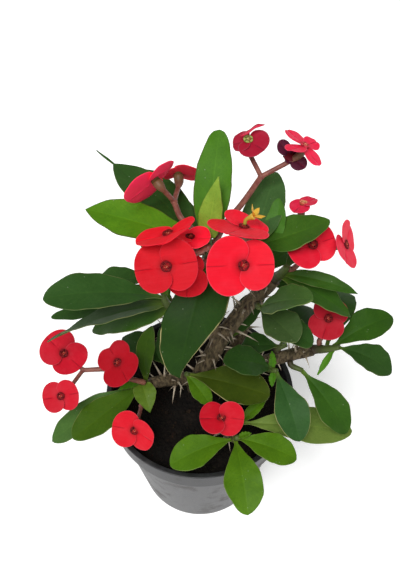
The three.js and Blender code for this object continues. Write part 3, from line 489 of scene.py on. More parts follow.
def curve_point(four, share):
    """A point between the middle two of four points, on a centripetal Catmull-Rom curve."""
    a, b, c, d = four
    pairs = (a, b), (b, c), (c, d)
    before, between, after = (max((q - p).length, 1e-4) ** 0.5 for p, q in pairs)
    start = ((b - a) / before - (c - a) / (before + between) + (c - b) / between) * between
    end = ((c - b) / between - (d - b) / (between + after) + (d - c) / after) * between
    bend = 3 * (c - b) - 2 * start - end
    swing = 2 * (b - c) + start + end
    return b + start * share + bend * share**2 + swing * share**3


class Course:
    """A smooth curve through points. A place on it is a share of its length, from 0 to 1."""

    STEPS = 30
    REACH = 0.4

    def __init__(self, points):
        points = [Vector(point) for point in points]
        reached = [2 * points[0] - points[1], *points, 2 * points[-1] - points[-2]]
        self.places = [points[0]]
        for i in range(len(points) - 1):
            four = reached[i : i + 4]
            self.places += [curve_point(four, k / self.STEPS) for k in range(1, self.STEPS + 1)]
        self.lengths = [0.0]
        for before, after in zip(self.places, self.places[1:]):
            self.lengths.append(self.lengths[-1] + (after - before).length)
        self.length = self.lengths[-1]

    def at(self, share):
        distance = min(max(share, 0), 1) * self.length
        i = min(max(bisect.bisect_right(self.lengths, distance) - 1, 0), len(self.places) - 2)
        part = (distance - self.lengths[i]) / (self.lengths[i + 1] - self.lengths[i])
        return self.places[i].lerp(self.places[i + 1], part)

    def heading(self, share):
        step = self.REACH / self.length
        return (self.at(share + step) - self.at(share - step)).normalized()


def along_list(values, share):
    place = share * (len(values) - 1)
    low = min(int(place), len(values) - 2)
    return values[low] + (values[low + 1] - values[low]) * (place - low)


def seeded_stream(seed):
    """The repeatable stream of numbers from 0 to 1 that sets the part's spines."""
    state = seed
    while True:
        state = (state * 16807) % 2147483647
        yield state / 2147483647


def ease(low, high, value):
    share = min(max((value - low) / (high - low), 0), 1)
    return share * share * (3 - 2 * share)


def hump(value, wide):
    """A soft bump of 1 at 0, which fades out over a width to both sides."""
    return math.exp(-((value / wide) ** 2))


# ---------------- meshes


def turns(count):
    """Equal turns round a circle."""
    return [2 * math.pi * k / count for k in range(count)]


def round_point(radius, turn, height=0):
    return Vector((radius * math.cos(turn), radius * math.sin(turn), height))


def lathe(profile, sides):
    """Rings round the Z axis. The profile runs up the outside, so that the surface faces out."""
    way_round = turns(sides)
    return [[round_point(radius, turn, height) for turn in way_round] for radius, height in profile]


def moved(rings, place, shift=Vector()):
    """Rings that a matrix moves or turns, and that are then shifted."""
    return [[place @ point + shift for point in ring] for ring in rings]


def tapered(radii):
    """The radius of a plain round stalk, from a list of radii along it."""
    return lambda share, _: along_list(radii, share)


def stalk_rings(course, radius_at, sides, step):
    """Rings along a curve, turned on smoothly. The radius depends on the share and the angle."""
    steps = max(3, round(course.length / step))
    side = None
    rings = []
    for i in range(steps + 1):
        share = i / steps
        ahead = course.heading(share)
        side = ahead.orthogonal() if side is None else side - ahead * side.dot(ahead)
        side = side.normalized()
        up = ahead.cross(side)
        ring = []
        for angle in turns(sides):
            out = side * math.cos(angle) + up * math.sin(angle)
            ring.append(course.at(share) + out * radius_at(share, angle))
        rings.append(ring)
    return rings


def ring_marks(rings, share_at=lambda share: share, ripe_at=lambda share: 0):
    """Marks for a stem: the angle from 0 to 1, the share of its length, and how green it is."""
    last = len(rings) - 1
    count = len(rings[0])
    return [
        [(k / count, share_at(i / last), ripe_at(i / last)) for k in range(count)]
        for i in range(last + 1)
    ]


class Shell:
    """Closed surfaces gathered for one piece, with the marks and tints that its finish reads.

    A mark is three numbers at a vertex: for a leaf, where it lies across the blade from -1 to 1,
    along it from 0 to 1, and 1 underneath; for a bract or a stem they mean what its maker says.
    """

    def __init__(self):
        self.vertices = []
        self.faces = []
        self.marks = []
        self.tints = []

    def add_rings(self, rings, marks=None, tint=(1, 1, 1, 1)):
        """A closed tube of rings, each wound by the right-hand rule round the way ahead."""
        first = len(self.vertices)
        count = len(rings[0])
        for ring, row in zip(rings, marks or ring_marks(rings)):
            self.vertices += ring
            self.marks += row
            self.tints += [tint] * count
        for start in range(first, first + (len(rings) - 1) * count, count):
            for k in range(count):
                a, b = start + k, start + (k + 1) % count
                self.faces.append((a, b, b + count, a + count))
        last = first + (len(rings) - 1) * count
        self.faces.append(tuple(reversed(range(first, first + count))))
        self.faces.append(tuple(range(last, last + count)))

    def add_lump(self, centre, across, along, high, turn=0, mark=0, sides=10):
        """A small rounded lump, such as a gland."""
        levels = (-0.97, -0.6, 0, 0.6, 0.97)
        rings = []
        for level in levels:
            radius = math.sqrt(1 - level * level)
            long, broad = along * radius, across * radius
            ring = [(long * math.cos(t), broad * math.sin(t), high * level) for t in turns(sides)]
            rings.append([Vector(point) for point in ring])
        marks = [[(mark, 0.5 + 0.5 * level, 0)] * sides for level in levels]
        self.add_rings(moved(rings, turned(turn, "Z"), centre), marks)


def add_object(name, data):
    holder = bpy.data.objects.new(name, data)
    bpy.context.scene.collection.objects.link(holder)
    return holder


def make_piece(name, shell, finish, slot, *nodes, matrix=None):
    """A smooth-shaded object in metres that rides on the plant and stands for CAD nodes."""
    place = Matrix.Scale(MM, 4) @ (matrix or Matrix())
    mesh = bpy.data.meshes.new(name)
    mesh.from_pydata([place @ point for point in shell.vertices], [], shell.faces)
    marks = mesh.attributes.new("marks", "FLOAT_VECTOR", "POINT")
    marks.data.foreach_set("vector", [number for mark in shell.marks for number in mark])
    tints = mesh.attributes.new("tint", "FLOAT_COLOR", "POINT")
    tints.data.foreach_set("color", [number for tint in shell.tints for number in tint])
    mesh.shade_smooth()
    mesh.materials.append(finish)
    piece = add_object(name, mesh)
    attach(piece, "root")
    if nodes:
        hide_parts(*nodes)
    return piece


def facing(way):
    return UP.rotation_difference(Vector(way).normalized()).to_matrix().to_4x4()


def turned(degrees, axis):
    return Matrix.Rotation(math.radians(degrees), 4, axis)


# ---------------- finishes


class Signal:
    """One output of a finish's nodes. Arithmetic on signals adds Math nodes."""

    def __init__(self, finish, socket):
        self.finish = finish
        self.socket = socket

    def math(self, operation, *values):
        return self.finish.node("Math", {"operation": operation}, dict(enumerate(values)))

    def __add__(self, other):
        return self.math("ADD", self, other)

    def __radd__(self, other):
        return self.math("ADD", other, self)

    def __sub__(self, other):
        return self.math("SUBTRACT", self, other)

    def __rsub__(self, other):
        return self.math("SUBTRACT", other, self)

    def __mul__(self, other):
        return self.math("MULTIPLY", self, other)

    def __rmul__(self, other):
        return self.math("MULTIPLY", other, self)

    def __abs__(self):
        return self.math("ABSOLUTE", self)

    def rise(self, low, high):
        """A smooth step from 0 where this is low to 1 where it is high, or the other way round."""
        limits = {"Value": self, "From Min": low, "From Max": high}
        return self.finish.node("MapRange", {"interpolation_type": "SMOOTHSTEP"}, limits)


class Nodes:
    """The nodes under way in front of a material's or a world's shader."""

    def __init__(self, owner, shader):
        owner.use_nodes = True
        self.tree = owner.node_tree
        self.shader = self.tree.nodes[shader]

    def node(self, kind, settings=None, sockets=None, output=0):
        """Any node: its type, its settings or stops, then its sockets' values or signals."""
        node = self.tree.nodes.new("ShaderNode" + kind)
        for key, value in (settings or {}).items():
            if key == "stops":
                self.set_stops(node.color_ramp.elements, value)
            else:
                setattr(node, key, value)
        for key, value in (sockets or {}).items():
            if isinstance(value, Signal):
                self.tree.links.new(value.socket, node.inputs[key])
            else:
                node.inputs[key].default_value = value
        return Signal(self, node.outputs[output])

    @staticmethod
    def set_stops(elements, stops):
        while len(elements) < len(stops):
            elements.new(1)
        for element, (place, colour) in zip(elements, stops):
            element.position = place
            element.color = colour

    def split(self, vector):
        return [self.node("SeparateXYZ", None, {0: vector}, axis) for axis in "XYZ"]

    def feed(self, socket, signal):
        self.tree.links.new(signal.socket, self.shader.inputs[socket])


class Finish(Nodes):
    """A material under way: coats of colour one over another, then its roughness and relief.

    Constants go straight to the shader; what varies goes through feed.
    """

    def __init__(self, name, **constants):
        self.material = bpy.data.materials.new(name)
        super().__init__(self.material, "Principled BSDF")
        for socket, value in constants.items():
            self.shader.inputs[socket.replace("_", " ")].default_value = value
        self.place = self.node("TexCoord", output="Object")
        self.colour = None

    def trait(self, name, output="Vector"):
        return self.node("Attribute", {"attribute_name": name}, output=output)

    def marks(self):
        return self.split(self.trait("marks"))

    def stretched(self, *scale):
        """The place on the object, scaled apart along X, Y and Z."""
        return self.node("VectorMath", {"operation": "MULTIPLY"}, {0: self.place, 1: scale})

    def grain(self, scale, detail=3, roughness=0.55, place=None):
        sockets = {"Vector": place or self.place, "Scale": scale}
        return self.node("TexNoise", None, {**sockets, "Detail": detail, "Roughness": roughness})

    def cells(self, scale, place=None):
        return self.node("TexVoronoi", None, {"Vector": place or self.place, "Scale": scale})

    def base(self, factor, first, second):
        """The first coat: two colours mixed by a factor."""
        self.colour = self.mix(factor, first, second, "MIX")

    def coat(self, amount, colour):
        """A colour laid over the coats so far by an amount from 0 to 1."""
        self.colour = self.mix(amount, self.colour, colour, "MIX")

    def glaze(self, amount, colour):
        """A colour that the coats so far are multiplied by, by an amount from 0 to 1."""
        self.colour = self.mix(amount, self.colour, colour, "MULTIPLY")

    def mix(self, factor, first, second, blend):
        settings = {"data_type": "RGBA", "blend_type": blend}
        return self.node("Mix", settings, {0: factor, 6: first, 7: second}, 2)

    def done(self, roughness, relief=None, deep=0, strength=1.0):
        """The material, with its roughness and a relief that is so many metres deep."""
        self.feed("Base Color", self.colour)
        self.feed("Roughness", roughness)
        if relief:
            sockets = {"Height": relief, "Distance": deep, "Strength": strength}
            self.feed("Normal", self.node("Bump", None, sockets))
        return self.material


def waxy_leaf():
    """A leaf's green: mottled, with a faint midrib, hardly any veins, sparse dust and a margin."""
    finish = Finish("waxy_leaf", Specular_IOR_Level=0.12)
    across, along, beneath = finish.marks()
    margin = finish.trait("tint", "Alpha")
    half = abs(across)
    clouds = finish.grain(60, 4)
    patches = finish.grain(260, 5, 0.7)
    dust = finish.cells(240).rise(0.11, 0.05) * finish.grain(110, 2).rise(0.52, 0.62)
    slant = along * 15 - half * 3.2
    vein = slant.math("PINGPONG", slant, 0.5).rise(0.14, 0.02)
    vein = vein * half.rise(0.05, 0.3) * half.rise(1.0, 0.8)
    rib = half.rise(0.07, 0.015) * (1 - along * 0.6)
    pale_rim = half.rise(0.955, 0.985) * margin * finish.grain(45, 2).rise(0.36, 0.56)
    dark_rim = half.rise(0.93, 0.985) * margin.rise(0, -1)
    finish.colour = finish.trait("tint", "Color")
    finish.glaze(clouds.rise(0.35, 0.7) * 0.45, (0.6, 0.68, 0.55, 1))
    finish.glaze(patches.rise(0.45, 0.72) * 0.5, (1.4, 1.25, 1.35, 1))
    finish.glaze(finish.grain(900, 2).rise(0.5, 0.7) * 0.4, (0.66, 0.74, 0.66, 1))
    finish.coat(along.rise(0.2, 0.0) * 0.35, paint(120, 140, 50))
    finish.glaze(vein * 0.2, (1.35, 1.3, 1.25, 1))
    finish.glaze(rib * 0.45, (1.5, 1.4, 1.3, 1))
    finish.coat(dust * 0.3, paint(176, 186, 160))
    finish.coat(pale_rim * 0.8, paint(186, 172, 118))
    finish.coat(dark_rim * 0.8, paint(74, 62, 34))
    finish.coat(beneath * 0.4, paint(96, 128, 72))
    relief = patches * 0.5 - vein * 0.1 - rib * 0.4 + clouds * 0.6
    return finish.done(0.42 + clouds * 0.16 + beneath * 0.2 + patches * 0.1, relief, 0.0003, 0.5)


def green_shoot():
    """The soft green tip of a stem, browner towards the wood."""
    finish = Finish("green_shoot", Specular_IOR_Level=0.4)
    _, along, _ = finish.marks()
    clouds = finish.grain(220, 4)
    finish.base(along.rise(0.0, 0.8), paint(50, 38, 22), paint(68, 84, 30))
    finish.coat(clouds.rise(0.45, 0.75) * 0.5, paint(50, 56, 24))
    return finish.done(0.5 + clouds * 0.2, clouds, 0.0006, 0.5)


def corky_bark():
    """Grey-brown bark with upright fissures, pale corky ridges and dark leaf scars.

    Its colours are darker than the bark's own, as painted shade for a trunk in the leaves' shade.
    """
    finish = Finish("corky_bark", Specular_IOR_Level=0.25)
    fibres = finish.grain(420, 5, 0.65, finish.stretched(1, 1, 0.22))
    clouds = finish.grain(90)
    scars = finish.cells(190, finish.stretched(1, 1, 1.6)).rise(0.16, 0.05)
    # Painted shade: both bark colours are darkened for the shade that the trunk stands in.
    finish.base(fibres.rise(0.3, 0.7), paint(34, 26, 17), paint(110, 96, 72))
    finish.coat(clouds.rise(0.45, 0.7) * 0.6, paint(62, 48, 32))
    finish.coat(clouds.rise(0.5, 0.3) * 0.35, paint(44, 42, 20))
    finish.coat(scars * 0.7, paint(36, 24, 16))
    relief = fibres * 1.4 - scars * 0.8 + clouds * 0.6
    return finish.done(0.74 + fibres * 0.2, relief, 0.0011, 0.8)


def dry_spine():
    """Pale grey-brown horn, darker at the tip and at the swollen foot."""
    finish = Finish("dry_spine", Specular_IOR_Level=0.35)
    _, along, _ = finish.marks()
    grain = finish.grain(700)
    finish.base(along.rise(0.05, 0.35), paint(96, 80, 62), paint(172, 160, 140))
    finish.coat(along.rise(0.6, 1.0) * 0.8, paint(92, 74, 62))
    finish.coat(grain.rise(0.45, 0.7) * 0.35, paint(120, 104, 84))
    return finish.done(0.5 + grain * 0.25)


def stalk_skin():
    """Smooth reddish brown stalk skin that turns yellow-green under a bloom."""
    finish = Finish("stalk_skin", Specular_IOR_Level=0.4)
    _, _, ripe = finish.marks()
    clouds = finish.grain(260, 4)
    finish.base(clouds.rise(0.35, 0.7), paint(112, 58, 50), paint(138, 84, 70))
    finish.coat(ripe * 0.8, paint(92, 74, 40))
    return finish.done(0.42 + clouds * 0.2, clouds, 0.0004, 0.4)


def red_bract(name, deep, clear, rim, back):
    """Velvety bract red: deep at the eye, clear beyond it, with a thin light rim and a dull back.
    The crease along its midrib is darkened with painted shade.

    The marks are how far a point lies from the eye from 0 to 1, how many millimetres beside the
    midrib, and how near it is to the rim from 0 to 1, or 0 to -1 underneath.
    """
    finish = Finish(name, Specular_IOR_Level=0.12, Sheen_Weight=0.03, Sheen_Roughness=0.4)
    out, beside, near = finish.marks()
    fan = finish.node("CombineXYZ", None, {0: beside * 0.9, 1: out * 2.0, 2: 0})
    streaks = finish.grain(1, place=fan)
    clouds = finish.grain(130)
    shaded_crease = abs(beside).rise(0.45, 0.1) * out.rise(0.35, 0.6)
    finish.base(out.rise(0.14, 0.4), deep, clear)
    finish.coat(out.rise(0.23, 0.17) * 0.45, paint(120, 6, 16))
    finish.coat(streaks.rise(0.4, 0.75) * 0.18, deep)
    finish.coat(clouds.rise(0.4, 0.8) * 0.15, rim)
    # Painted shade: the crease along the midrib is darkened as if in its own shadow; the same mask
    # also sinks the crease in the relief.
    finish.coat(shaded_crease * 0.45, paint(120, 8, 26))
    finish.coat(abs(near).rise(0.965, 0.99) * 0.8, rim)
    finish.coat(near.rise(0, -0.02) * 0.85, back)
    # The tint is the bloom's tone: its own red, with painted light and shade for low or shadowed
    # blooms.
    finish.glaze(1.0, finish.trait("tint", "Color"))
    relief = streaks * 0.4 + clouds * 0.3 - shaded_crease * 1.2
    return finish.done(0.52 + streaks * 0.15, relief, 0.0004, 0.5)


def bloom_eye(name, hollow, gland, thread, stamen):
    """The cup in a bloom: its hollow, glands, threads and stamens, green-brown beneath.

    The first mark is the KIND of what it's on, and the second its height from the bracts.
    """
    finish = Finish(name, Specular_IOR_Level=0.15)
    kind, height, _ = finish.marks()
    grain = finish.grain(1500, 2)
    finish.base(kind.rise(0.1, 0.3), hollow, gland)
    finish.coat(kind.rise(0.4, 0.6), thread)
    finish.coat(kind.rise(0.8, 1.0), stamen)
    finish.coat(grain.rise(0.5, 0.7) * 0.3, hollow)
    finish.coat(height.rise(-0.1, -0.5), paint(92, 74, 40))
    return finish.done(0.5 + grain * 0.3, grain, 0.0002, 0.4)


def gland_yellow():
    """Waxy yellow gland lobes, greener towards the cup, with fine ribs."""
    finish = Finish("gland_yellow", Specular_IOR_Level=0.5)
    _, along, _ = finish.marks()
    grain = finish.grain(800)
    finish.base(along.rise(0.0, 0.5), paint(150, 150, 52), paint(222, 176, 54))
    finish.coat(grain.rise(0.45, 0.7) * 0.5, paint(198, 134, 36))
    return finish.done(0.42 + grain * 0.2, grain, 0.0003, 0.5)


def potting_mix():
    """Peat with lighter fibres and grit, its colours darkened near black as painted shade under the
    leaves.
    """
    finish = Finish("potting_mix", Specular_IOR_Level=0.2)
    crumbs = finish.cells(330)
    clouds = finish.grain(60, 5)
    grit = finish.grain(800, 4)
    # Painted shade: the peat's colours are darkened to near black for the shade beneath the plant.
    finish.base(clouds.rise(0.35, 0.65), paint(13, 10, 8), paint(28, 21, 15))
    finish.coat(grit.rise(0.58, 0.75) * 0.5, paint(60, 48, 34))
    finish.coat(crumbs.rise(0.25, 0.6) * 0.5, paint(10, 8, 6))
    finish.glaze(1.0, finish.trait("tint", "Color"))
    return finish.done(0.86 + grit * 0.14, grit * 1.2 + crumbs * 1.5 + clouds, 0.0016, 0.9)


def pot_plastic():
    """Satin black moulded plastic with faint flow streaks, scuffs and a dusting of dried soil."""
    finish = Finish("pot_plastic", Specular_IOR_Level=0.5)
    _, _, height = finish.split(finish.place)
    streaks = finish.grain(260, place=finish.stretched(1, 1, 0.08))
    dust = finish.grain(45, 5).rise(0.52, 0.75)
    scuffs = finish.grain(120, 4, place=finish.stretched(1, 1, 5)).rise(0.66, 0.74)
    finish.base(streaks.rise(0.3, 0.7), paint(22, 22, 24), paint(34, 34, 37))
    finish.coat(dust * 0.35, paint(84, 74, 64))
    finish.coat(scuffs * 0.3, paint(92, 92, 96))
    finish.coat(height.rise(0.008, 0.0) * 0.3, paint(80, 74, 66))
    relief = finish.grain(1400, 2) * 0.5 + streaks * 0.7 - scuffs * 0.6
    return finish.done(0.38 + dust * 0.25 + streaks * 0.1 + scuffs * 0.15, relief, 0.00025, 0.5)


def white_floor():
    """A white studio floor that is lit a little from beneath, so that shadows on it stay faint."""
    finish = Finish("white_floor", Roughness=0.9, Specular_IOR_Level=0.1, Emission_Strength=0.3)
    finish.base(finish.grain(3, 2), paint(250, 250, 250), paint(244, 244, 244))
    finish.feed("Base Color", finish.colour)
    finish.feed("Emission Color", finish.colour)
    return finish.material


LEAF_FINISH = waxy_leaf()
SHOOT_FINISH = green_shoot()
BARK_FINISH = corky_bark()
SPINE_FINISH = dry_spine()
STALK_FINISH = stalk_skin()
GLAND_FINISH = gland_yellow()
SOIL_FINISH = potting_mix()
POT_FINISH = pot_plastic()
BRACT_FINISHES = {
    name: red_bract(name, *(paint(*colour) for colour in colours))
    for name, colours in {
        "red_bract": [(190, 10, 26), (226, 16, 38), (236, 74, 86), (186, 24, 46)],
        "withered_bract": [(48, 14, 30), (74, 22, 44), (104, 50, 66), (58, 22, 40)],
    }.items()
}
EYE_FINISHES = {
    name: bloom_eye(name, *(paint(*colour) for colour in colours))
    for name, colours in {
        "dark_eye": [(66, 6, 12), (104, 10, 18), (176, 58, 46), (222, 122, 96)],
        "rosy_eye": [(150, 26, 40), (206, 60, 76), (224, 120, 100), (232, 170, 130)],
        "peach_eye": [(176, 80, 60), (214, 130, 96), (230, 170, 120), (236, 190, 140)],
        "green_eye": [(104, 124, 50), (150, 160, 84), (190, 176, 110), (206, 190, 130)],
    }.items()
}

# ---------------- pot and soil


def rounded(corner, before, after, size, steps=4):
    """Points of a small round edge in place of a profile's corner."""
    corner, before, after = Vector(corner), Vector(before), Vector(after)
    start = corner + (before - corner).normalized() * size
    end = corner + (after - corner).normalized() * size
    shares = [k / steps for k in range(steps + 1)]
    return [tuple(start.lerp(corner, s).lerp(corner.lerp(end, s), s)) for s in shares]


def pot_profile():
    collar_foot = POT.height - POT.collar_height
    edge, wall = POT.edge, POT.wall
    corners = [
        (POT_RADIUS.base, 0),
        (POT_RADIUS.shoulder, collar_foot),
        (POT_RADIUS.collar, collar_foot + edge),
        (POT_RADIUS.collar, POT.height - 2 * edge),
        (POT_RADIUS.rim, POT.height - edge),
        (POT_RADIUS.rim, POT.height),
        (POT_RADIUS.collar - wall, POT.height),
        (POT_RADIUS.collar - wall, collar_foot + edge + wall),
        (POT_RADIUS.shoulder - wall, collar_foot),
        (POT_RADIUS.base - wall, POT.floor),
    ]
    ends = [(0.5, 0), *corners, (0.5, POT.floor)]
    profile = [ends[0]]
    for before, corner, after in zip(ends, ends[1:], ends[2:]):
        profile += rounded(corner, before, after, POT.rounding)
    return [*profile, ends[-1]]


def make_pot():
    shell = Shell()
    shell.add_rings(lathe(pot_profile(), POT.sides))
    pot = make_piece("nursery_pot", shell, POT_FINISH, "pot", "pot")
    drills = Shell()
    for k in range(DRAIN.count):
        centre = round_point(DRAIN.circle, 2 * math.pi * (k + 0.5) / DRAIN.count)
        ends = [(DRAIN.radius, -DRAIN.reach), (DRAIN.radius, DRAIN.reach)]
        drills.add_rings(moved(lathe(ends, DRAIN.sides), Matrix(), centre))
    drill = make_piece("drain_drill", drills, POT_FINISH, "pot")
    cut = pot.modifiers.new("drain holes", "BOOLEAN")
    cut.object = drill
    cut.operation = "DIFFERENCE"
    shaped = pot.evaluated_get(bpy.context.evaluated_depsgraph_get())
    drilled = bpy.data.meshes.new_from_object(shaped)
    pot.modifiers.clear()
    pot.data = drilled
    bpy.data.objects.remove(drill)
    pot.data.shade_smooth()


def soil_height(x, y):
    humps = math.sin(x / 9 + 1) * math.cos(y / 11) + 0.5 * math.sin((x + 2 * y) / 7)
    return SOIL.level + SOIL.swell * humps


def pot_inside(height):
    shoulder = POT.height - POT.collar_height
    share = (height - POT.floor) / (shoulder - POT.floor)
    return POT_RADIUS.base + share * (POT_RADIUS.shoulder - POT_RADIUS.base) - POT.wall


def crumbled(point):
    """Soil roughness in millimetres at a point of the surface."""
    return SOIL.crumb * (noise.noise(point / 7) + 0.5 * noise.noise(point / 2.2))


def make_soil():
    foot = POT.floor + GAP
    shoulder = POT.height - POT.collar_height
    top_radius = POT_RADIUS.shoulder - POT.wall - SOIL.clearance
    walls = [(0.5, foot), (pot_inside(foot) - 1, foot), (top_radius - 1, shoulder)]
    shares = [k / SOIL.rings for k in range(SOIL.rings + 1)]
    top = [(top_radius * (1 - share) + 0.3, SOIL.level) for share in shares]
    rings = lathe([*walls, *top], SOIL.sides)
    for ring in rings[len(walls) :]:
        for point in ring:
            point.z = soil_height(point.x, point.y) + crumbled(point)
    shell = Shell()
    shell.add_rings(rings)
    make_piece("potting_mix", shell, SOIL_FINISH, "soil", "soil")


def crumb_rings(size, stream):
    """A small irregular lump as a stack of rings."""
    rings = []
    for level in (-0.96, -0.5, 0.1, 0.6, 0.96):
        radius = math.sqrt(1 - level * level)
        ring = []
        for turn in turns(CRUMBS.sides):
            reach = size * (0.75 + 0.5 * stream.random())
            ring.append(round_point(radius * reach, turn, CRUMBS.flat * size * level))
        rings.append(ring)
    return rings


def make_crumbs():
    """Bark chips, peat lumps and a little grit strewn over the potting mix."""
    stream = random.Random(CRUMBS.seed)
    shell = Shell()
    for _ in range(CRUMBS.count):
        turn = stream.uniform(0, 2 * math.pi)
        centre = round_point(CRUMBS.reach * math.sqrt(stream.random()), turn)
        size = CRUMBS.smallest + CRUMBS.growth * stream.random() ** 3
        spin = Euler([stream.uniform(0, 6.3) for _ in range(3)]).to_matrix()
        centre.z = soil_height(centre.x, centre.y) + CRUMBS.raised
        rings = moved(crumb_rings(size, stream), spin, centre)
        shell.add_rings(rings, tint=stream.choice(CRUMB_TONES))
    make_piece("soil_crumbs", shell, SOIL_FINISH, "soil")


# ---------------- woody stems and spines


def bark_radius(radii, seed):
    """A stem's radius with its shallow ridges."""

    def radius_at(share, angle):
        place = round_point(2, angle, share * BARK.along + seed)
        ridges = noise.noise(place) * BARK.ridges
        ridges += noise.noise(place * BARK.finer) * BARK.fine_ridges
        return along_list(radii, share) * (1 + ridges)

    return radius_at


def spine_rings(foot, direction, length, thickness, droop):
    """A slim horn that swells at its foot and bends a little on its way out."""
    ahead = direction.normalized()
    bend = (UP - ahead * ahead.z) * droop * length
    course = Course([foot, foot + ahead * length * 0.5 + bend * 0.3, foot + ahead * length])

    def radius_at(share, _):
        return thickness * along_list(SPINE_TAPER, share)

    return stalk_rings(course, radius_at, SPINE.sides, length / SPINE.sides)


def grow_spines(shell, branch, lengths, kind):
    """Spines in pairs, each pair turned on from the last by the golden angle."""
    course = Course(branch.path)
    count = int(course.length / SPINE.spacing)
    for i in range(1, count):
        share = (i + kind.shift) / count
        centre = course.at(share)
        ahead = course.heading(share)
        across = Vector((0, 1, 0)).cross(ahead).normalized()
        radius = along_list(branch.radii, share) - SPINE.sunk
        for turn in (-SPINE.spread, SPINE.spread):
            outward = Quaternion(ahead, i * GOLDEN_TURN + turn + kind.turn) @ across
            length = kind.shortest + (kind.longest - kind.shortest) * next(lengths)
            if centre.z > SOIL.level + SPINE.bare:
                direction = outward + ahead * SPINE.rise
                foot = centre + outward * radius
                shell.add_rings(spine_rings(foot, direction, length, kind.radius, SPINE.droop))


def make_stem(name, stem):
    bark = Shell()
    spines = Shell()
    lengths = seeded_stream(stem.spine_seed * LONG_SPINE.seed)
    thin_lengths = seeded_stream(stem.spine_seed * THIN_SPINE.seed)
    for i, branch in enumerate(stem.branches):
        radius_at = bark_radius(branch.radii, BARK.branch_seed * i)
        bark.add_rings(stalk_rings(Course(branch.path), radius_at, STEM.sides, STEM.step))
        grow_spines(spines, branch, lengths, LONG_SPINE)
        grow_spines(spines, branch, thin_lengths, THIN_SPINE)
    make_piece(name.replace("stem", "bark"), bark, BARK_FINISH, "stem", name)
    make_piece(name.replace("stem", "spines"), spines, SPINE_FINISH, "stem", name)


# ---------------- green shoots and leaves


def bud_beside(course, share, radius, toward):
    """Two points leading straight out from the side of a round stem, toward a point."""
    centre = course.at(share)
    ahead = course.heading(share)
    outward = Vector(toward) - centre
    outward = (outward - ahead * outward.dot(ahead)).normalized()
    start = centre + outward * (radius + GAP)
    return [start, start + outward * BUD.side]


def shoot_course(shoot):
    if "end" in shoot:
        stem, index = shoot.end
        wood = Course(STEMS[stem].branches[index].path)
        start = wood.at(1) + wood.heading(1) * GAP
        return Course([start, start + wood.heading(1) * BUD.end, *shoot.path])
    stem, index, share, toward = shoot.side
    branch = STEMS[stem].branches[index]
    radius = along_list(branch.radii, share)
    return Course([*bud_beside(Course(branch.path), share, radius, toward), *shoot.path])


def leaf_outline(form, share):
    """How wide a leaf is at a share of its length, from 0 to 1. A tail is a thin curled tip."""
    shape = LEAF_FORMS[form]
    place = min(share / (1 - shape.get("tail", 0)), 1)
    power = math.log(0.5) / math.log(shape.peak)
    swell = max(math.sin(math.pi * place**power), 0)
    fullness = shape.heel if place < shape.peak else shape.nose
    return shape.get("full", 1) * swell**fullness


def uneven_edge(share, seed, side):
    """How much fuller or slimmer one side of a leaf is there than its form."""
    coarse = noise.noise(Vector((share * 4.2, seed, 3 * side)))
    fine = noise.noise(Vector((share * 13, 2 * seed, 3 * side + 1)))
    return 1 + (LEAF_EDGE.uneven * coarse + LEAF_EDGE.fine * fine) * ease(0, 0.2, share)


def leaf_rings(base, leaf):
    """Rings round a leaf's sections: over the top from left to right, then back underneath."""
    chord = Vector(leaf.tip) - base
    along = chord.normalized()
    face = (UP - along * along.z).normalized()
    wide = leaf.wide
    forms = leaf.form, leaf.get("right", leaf.form)
    rings = []
    marks = []
    for i in range(LEAF_ROWS + 1):
        share = 1 - (1 - i / LEAF_ROWS) ** 1.25
        tilt = math.radians(leaf.get("roll", 0) + leaf.get("twist", 0) * share)
        up = Quaternion(along, tilt) @ face
        side = along.cross(up)
        rest = LEAF.neck * (1 - share) + LEAF.tip * share
        halves = [
            max(wide / 2 * leaf_outline(form, share) * uneven_edge(share, wide + chord.x, k), rest)
            for k, form in enumerate(forms)
        ]
        arch = face * leaf.bow + along.cross(face) * leaf.get("bend", 0)
        middle = base + chord * share + arch * (4 * share * (1 - share))
        wave = LEAF_EDGE.wave * max(halves) / 15 * math.sin(share * LEAF_EDGE.waves + wide)
        over, under = [], []
        for across in LEAF_COLUMNS:
            reach = abs(across)
            half = halves[across > 0]
            ripple = math.sin(share * LEAF_EDGE.ripples + wide * 2 + 2 * across) * reach**3
            lift = LEAF.fold * half * reach**1.5 - wave * across * reach
            lift += LEAF_EDGE.ripple * ripple
            lift -= LEAF.rib * hump(across * half, LEAF.rib_wide) * (1 - share)
            point = middle + side * half * across + up * lift
            thick = LEAF.thick + (LEAF.edge_thick - LEAF.thick) * reach**2
            over.append(point + up * thick / 2)
            under.append(point - up * thick / 2)
        rings.append(over + under[::-1])
        marks.append(
            [(across, share, 0) for across in LEAF_COLUMNS]
            + [(across, share, 1) for across in reversed(LEAF_COLUMNS)]
        )
    return rings, marks


def make_shoot(name, shoot):
    course = shoot_course(shoot)
    skin = Shell()
    radius_at = bark_radius(shoot.radii, BARK.shoot_seed)
    skin.add_rings(stalk_rings(course, radius_at, SHOOT.sides, SHOOT.step))
    leaves = Shell()
    for leaf in shoot.leaves:
        leaves.add_rings(*leaf_rings(course.at(leaf.at), leaf), LEAF_TINTS[leaf.tint])
    make_piece(name + "_skin", skin, SHOOT_FINISH, "leaf", name)
    make_piece(name + "_leaves", leaves, LEAF_FINISH, "leaf", name)


# ---------------- blooms and their stalks


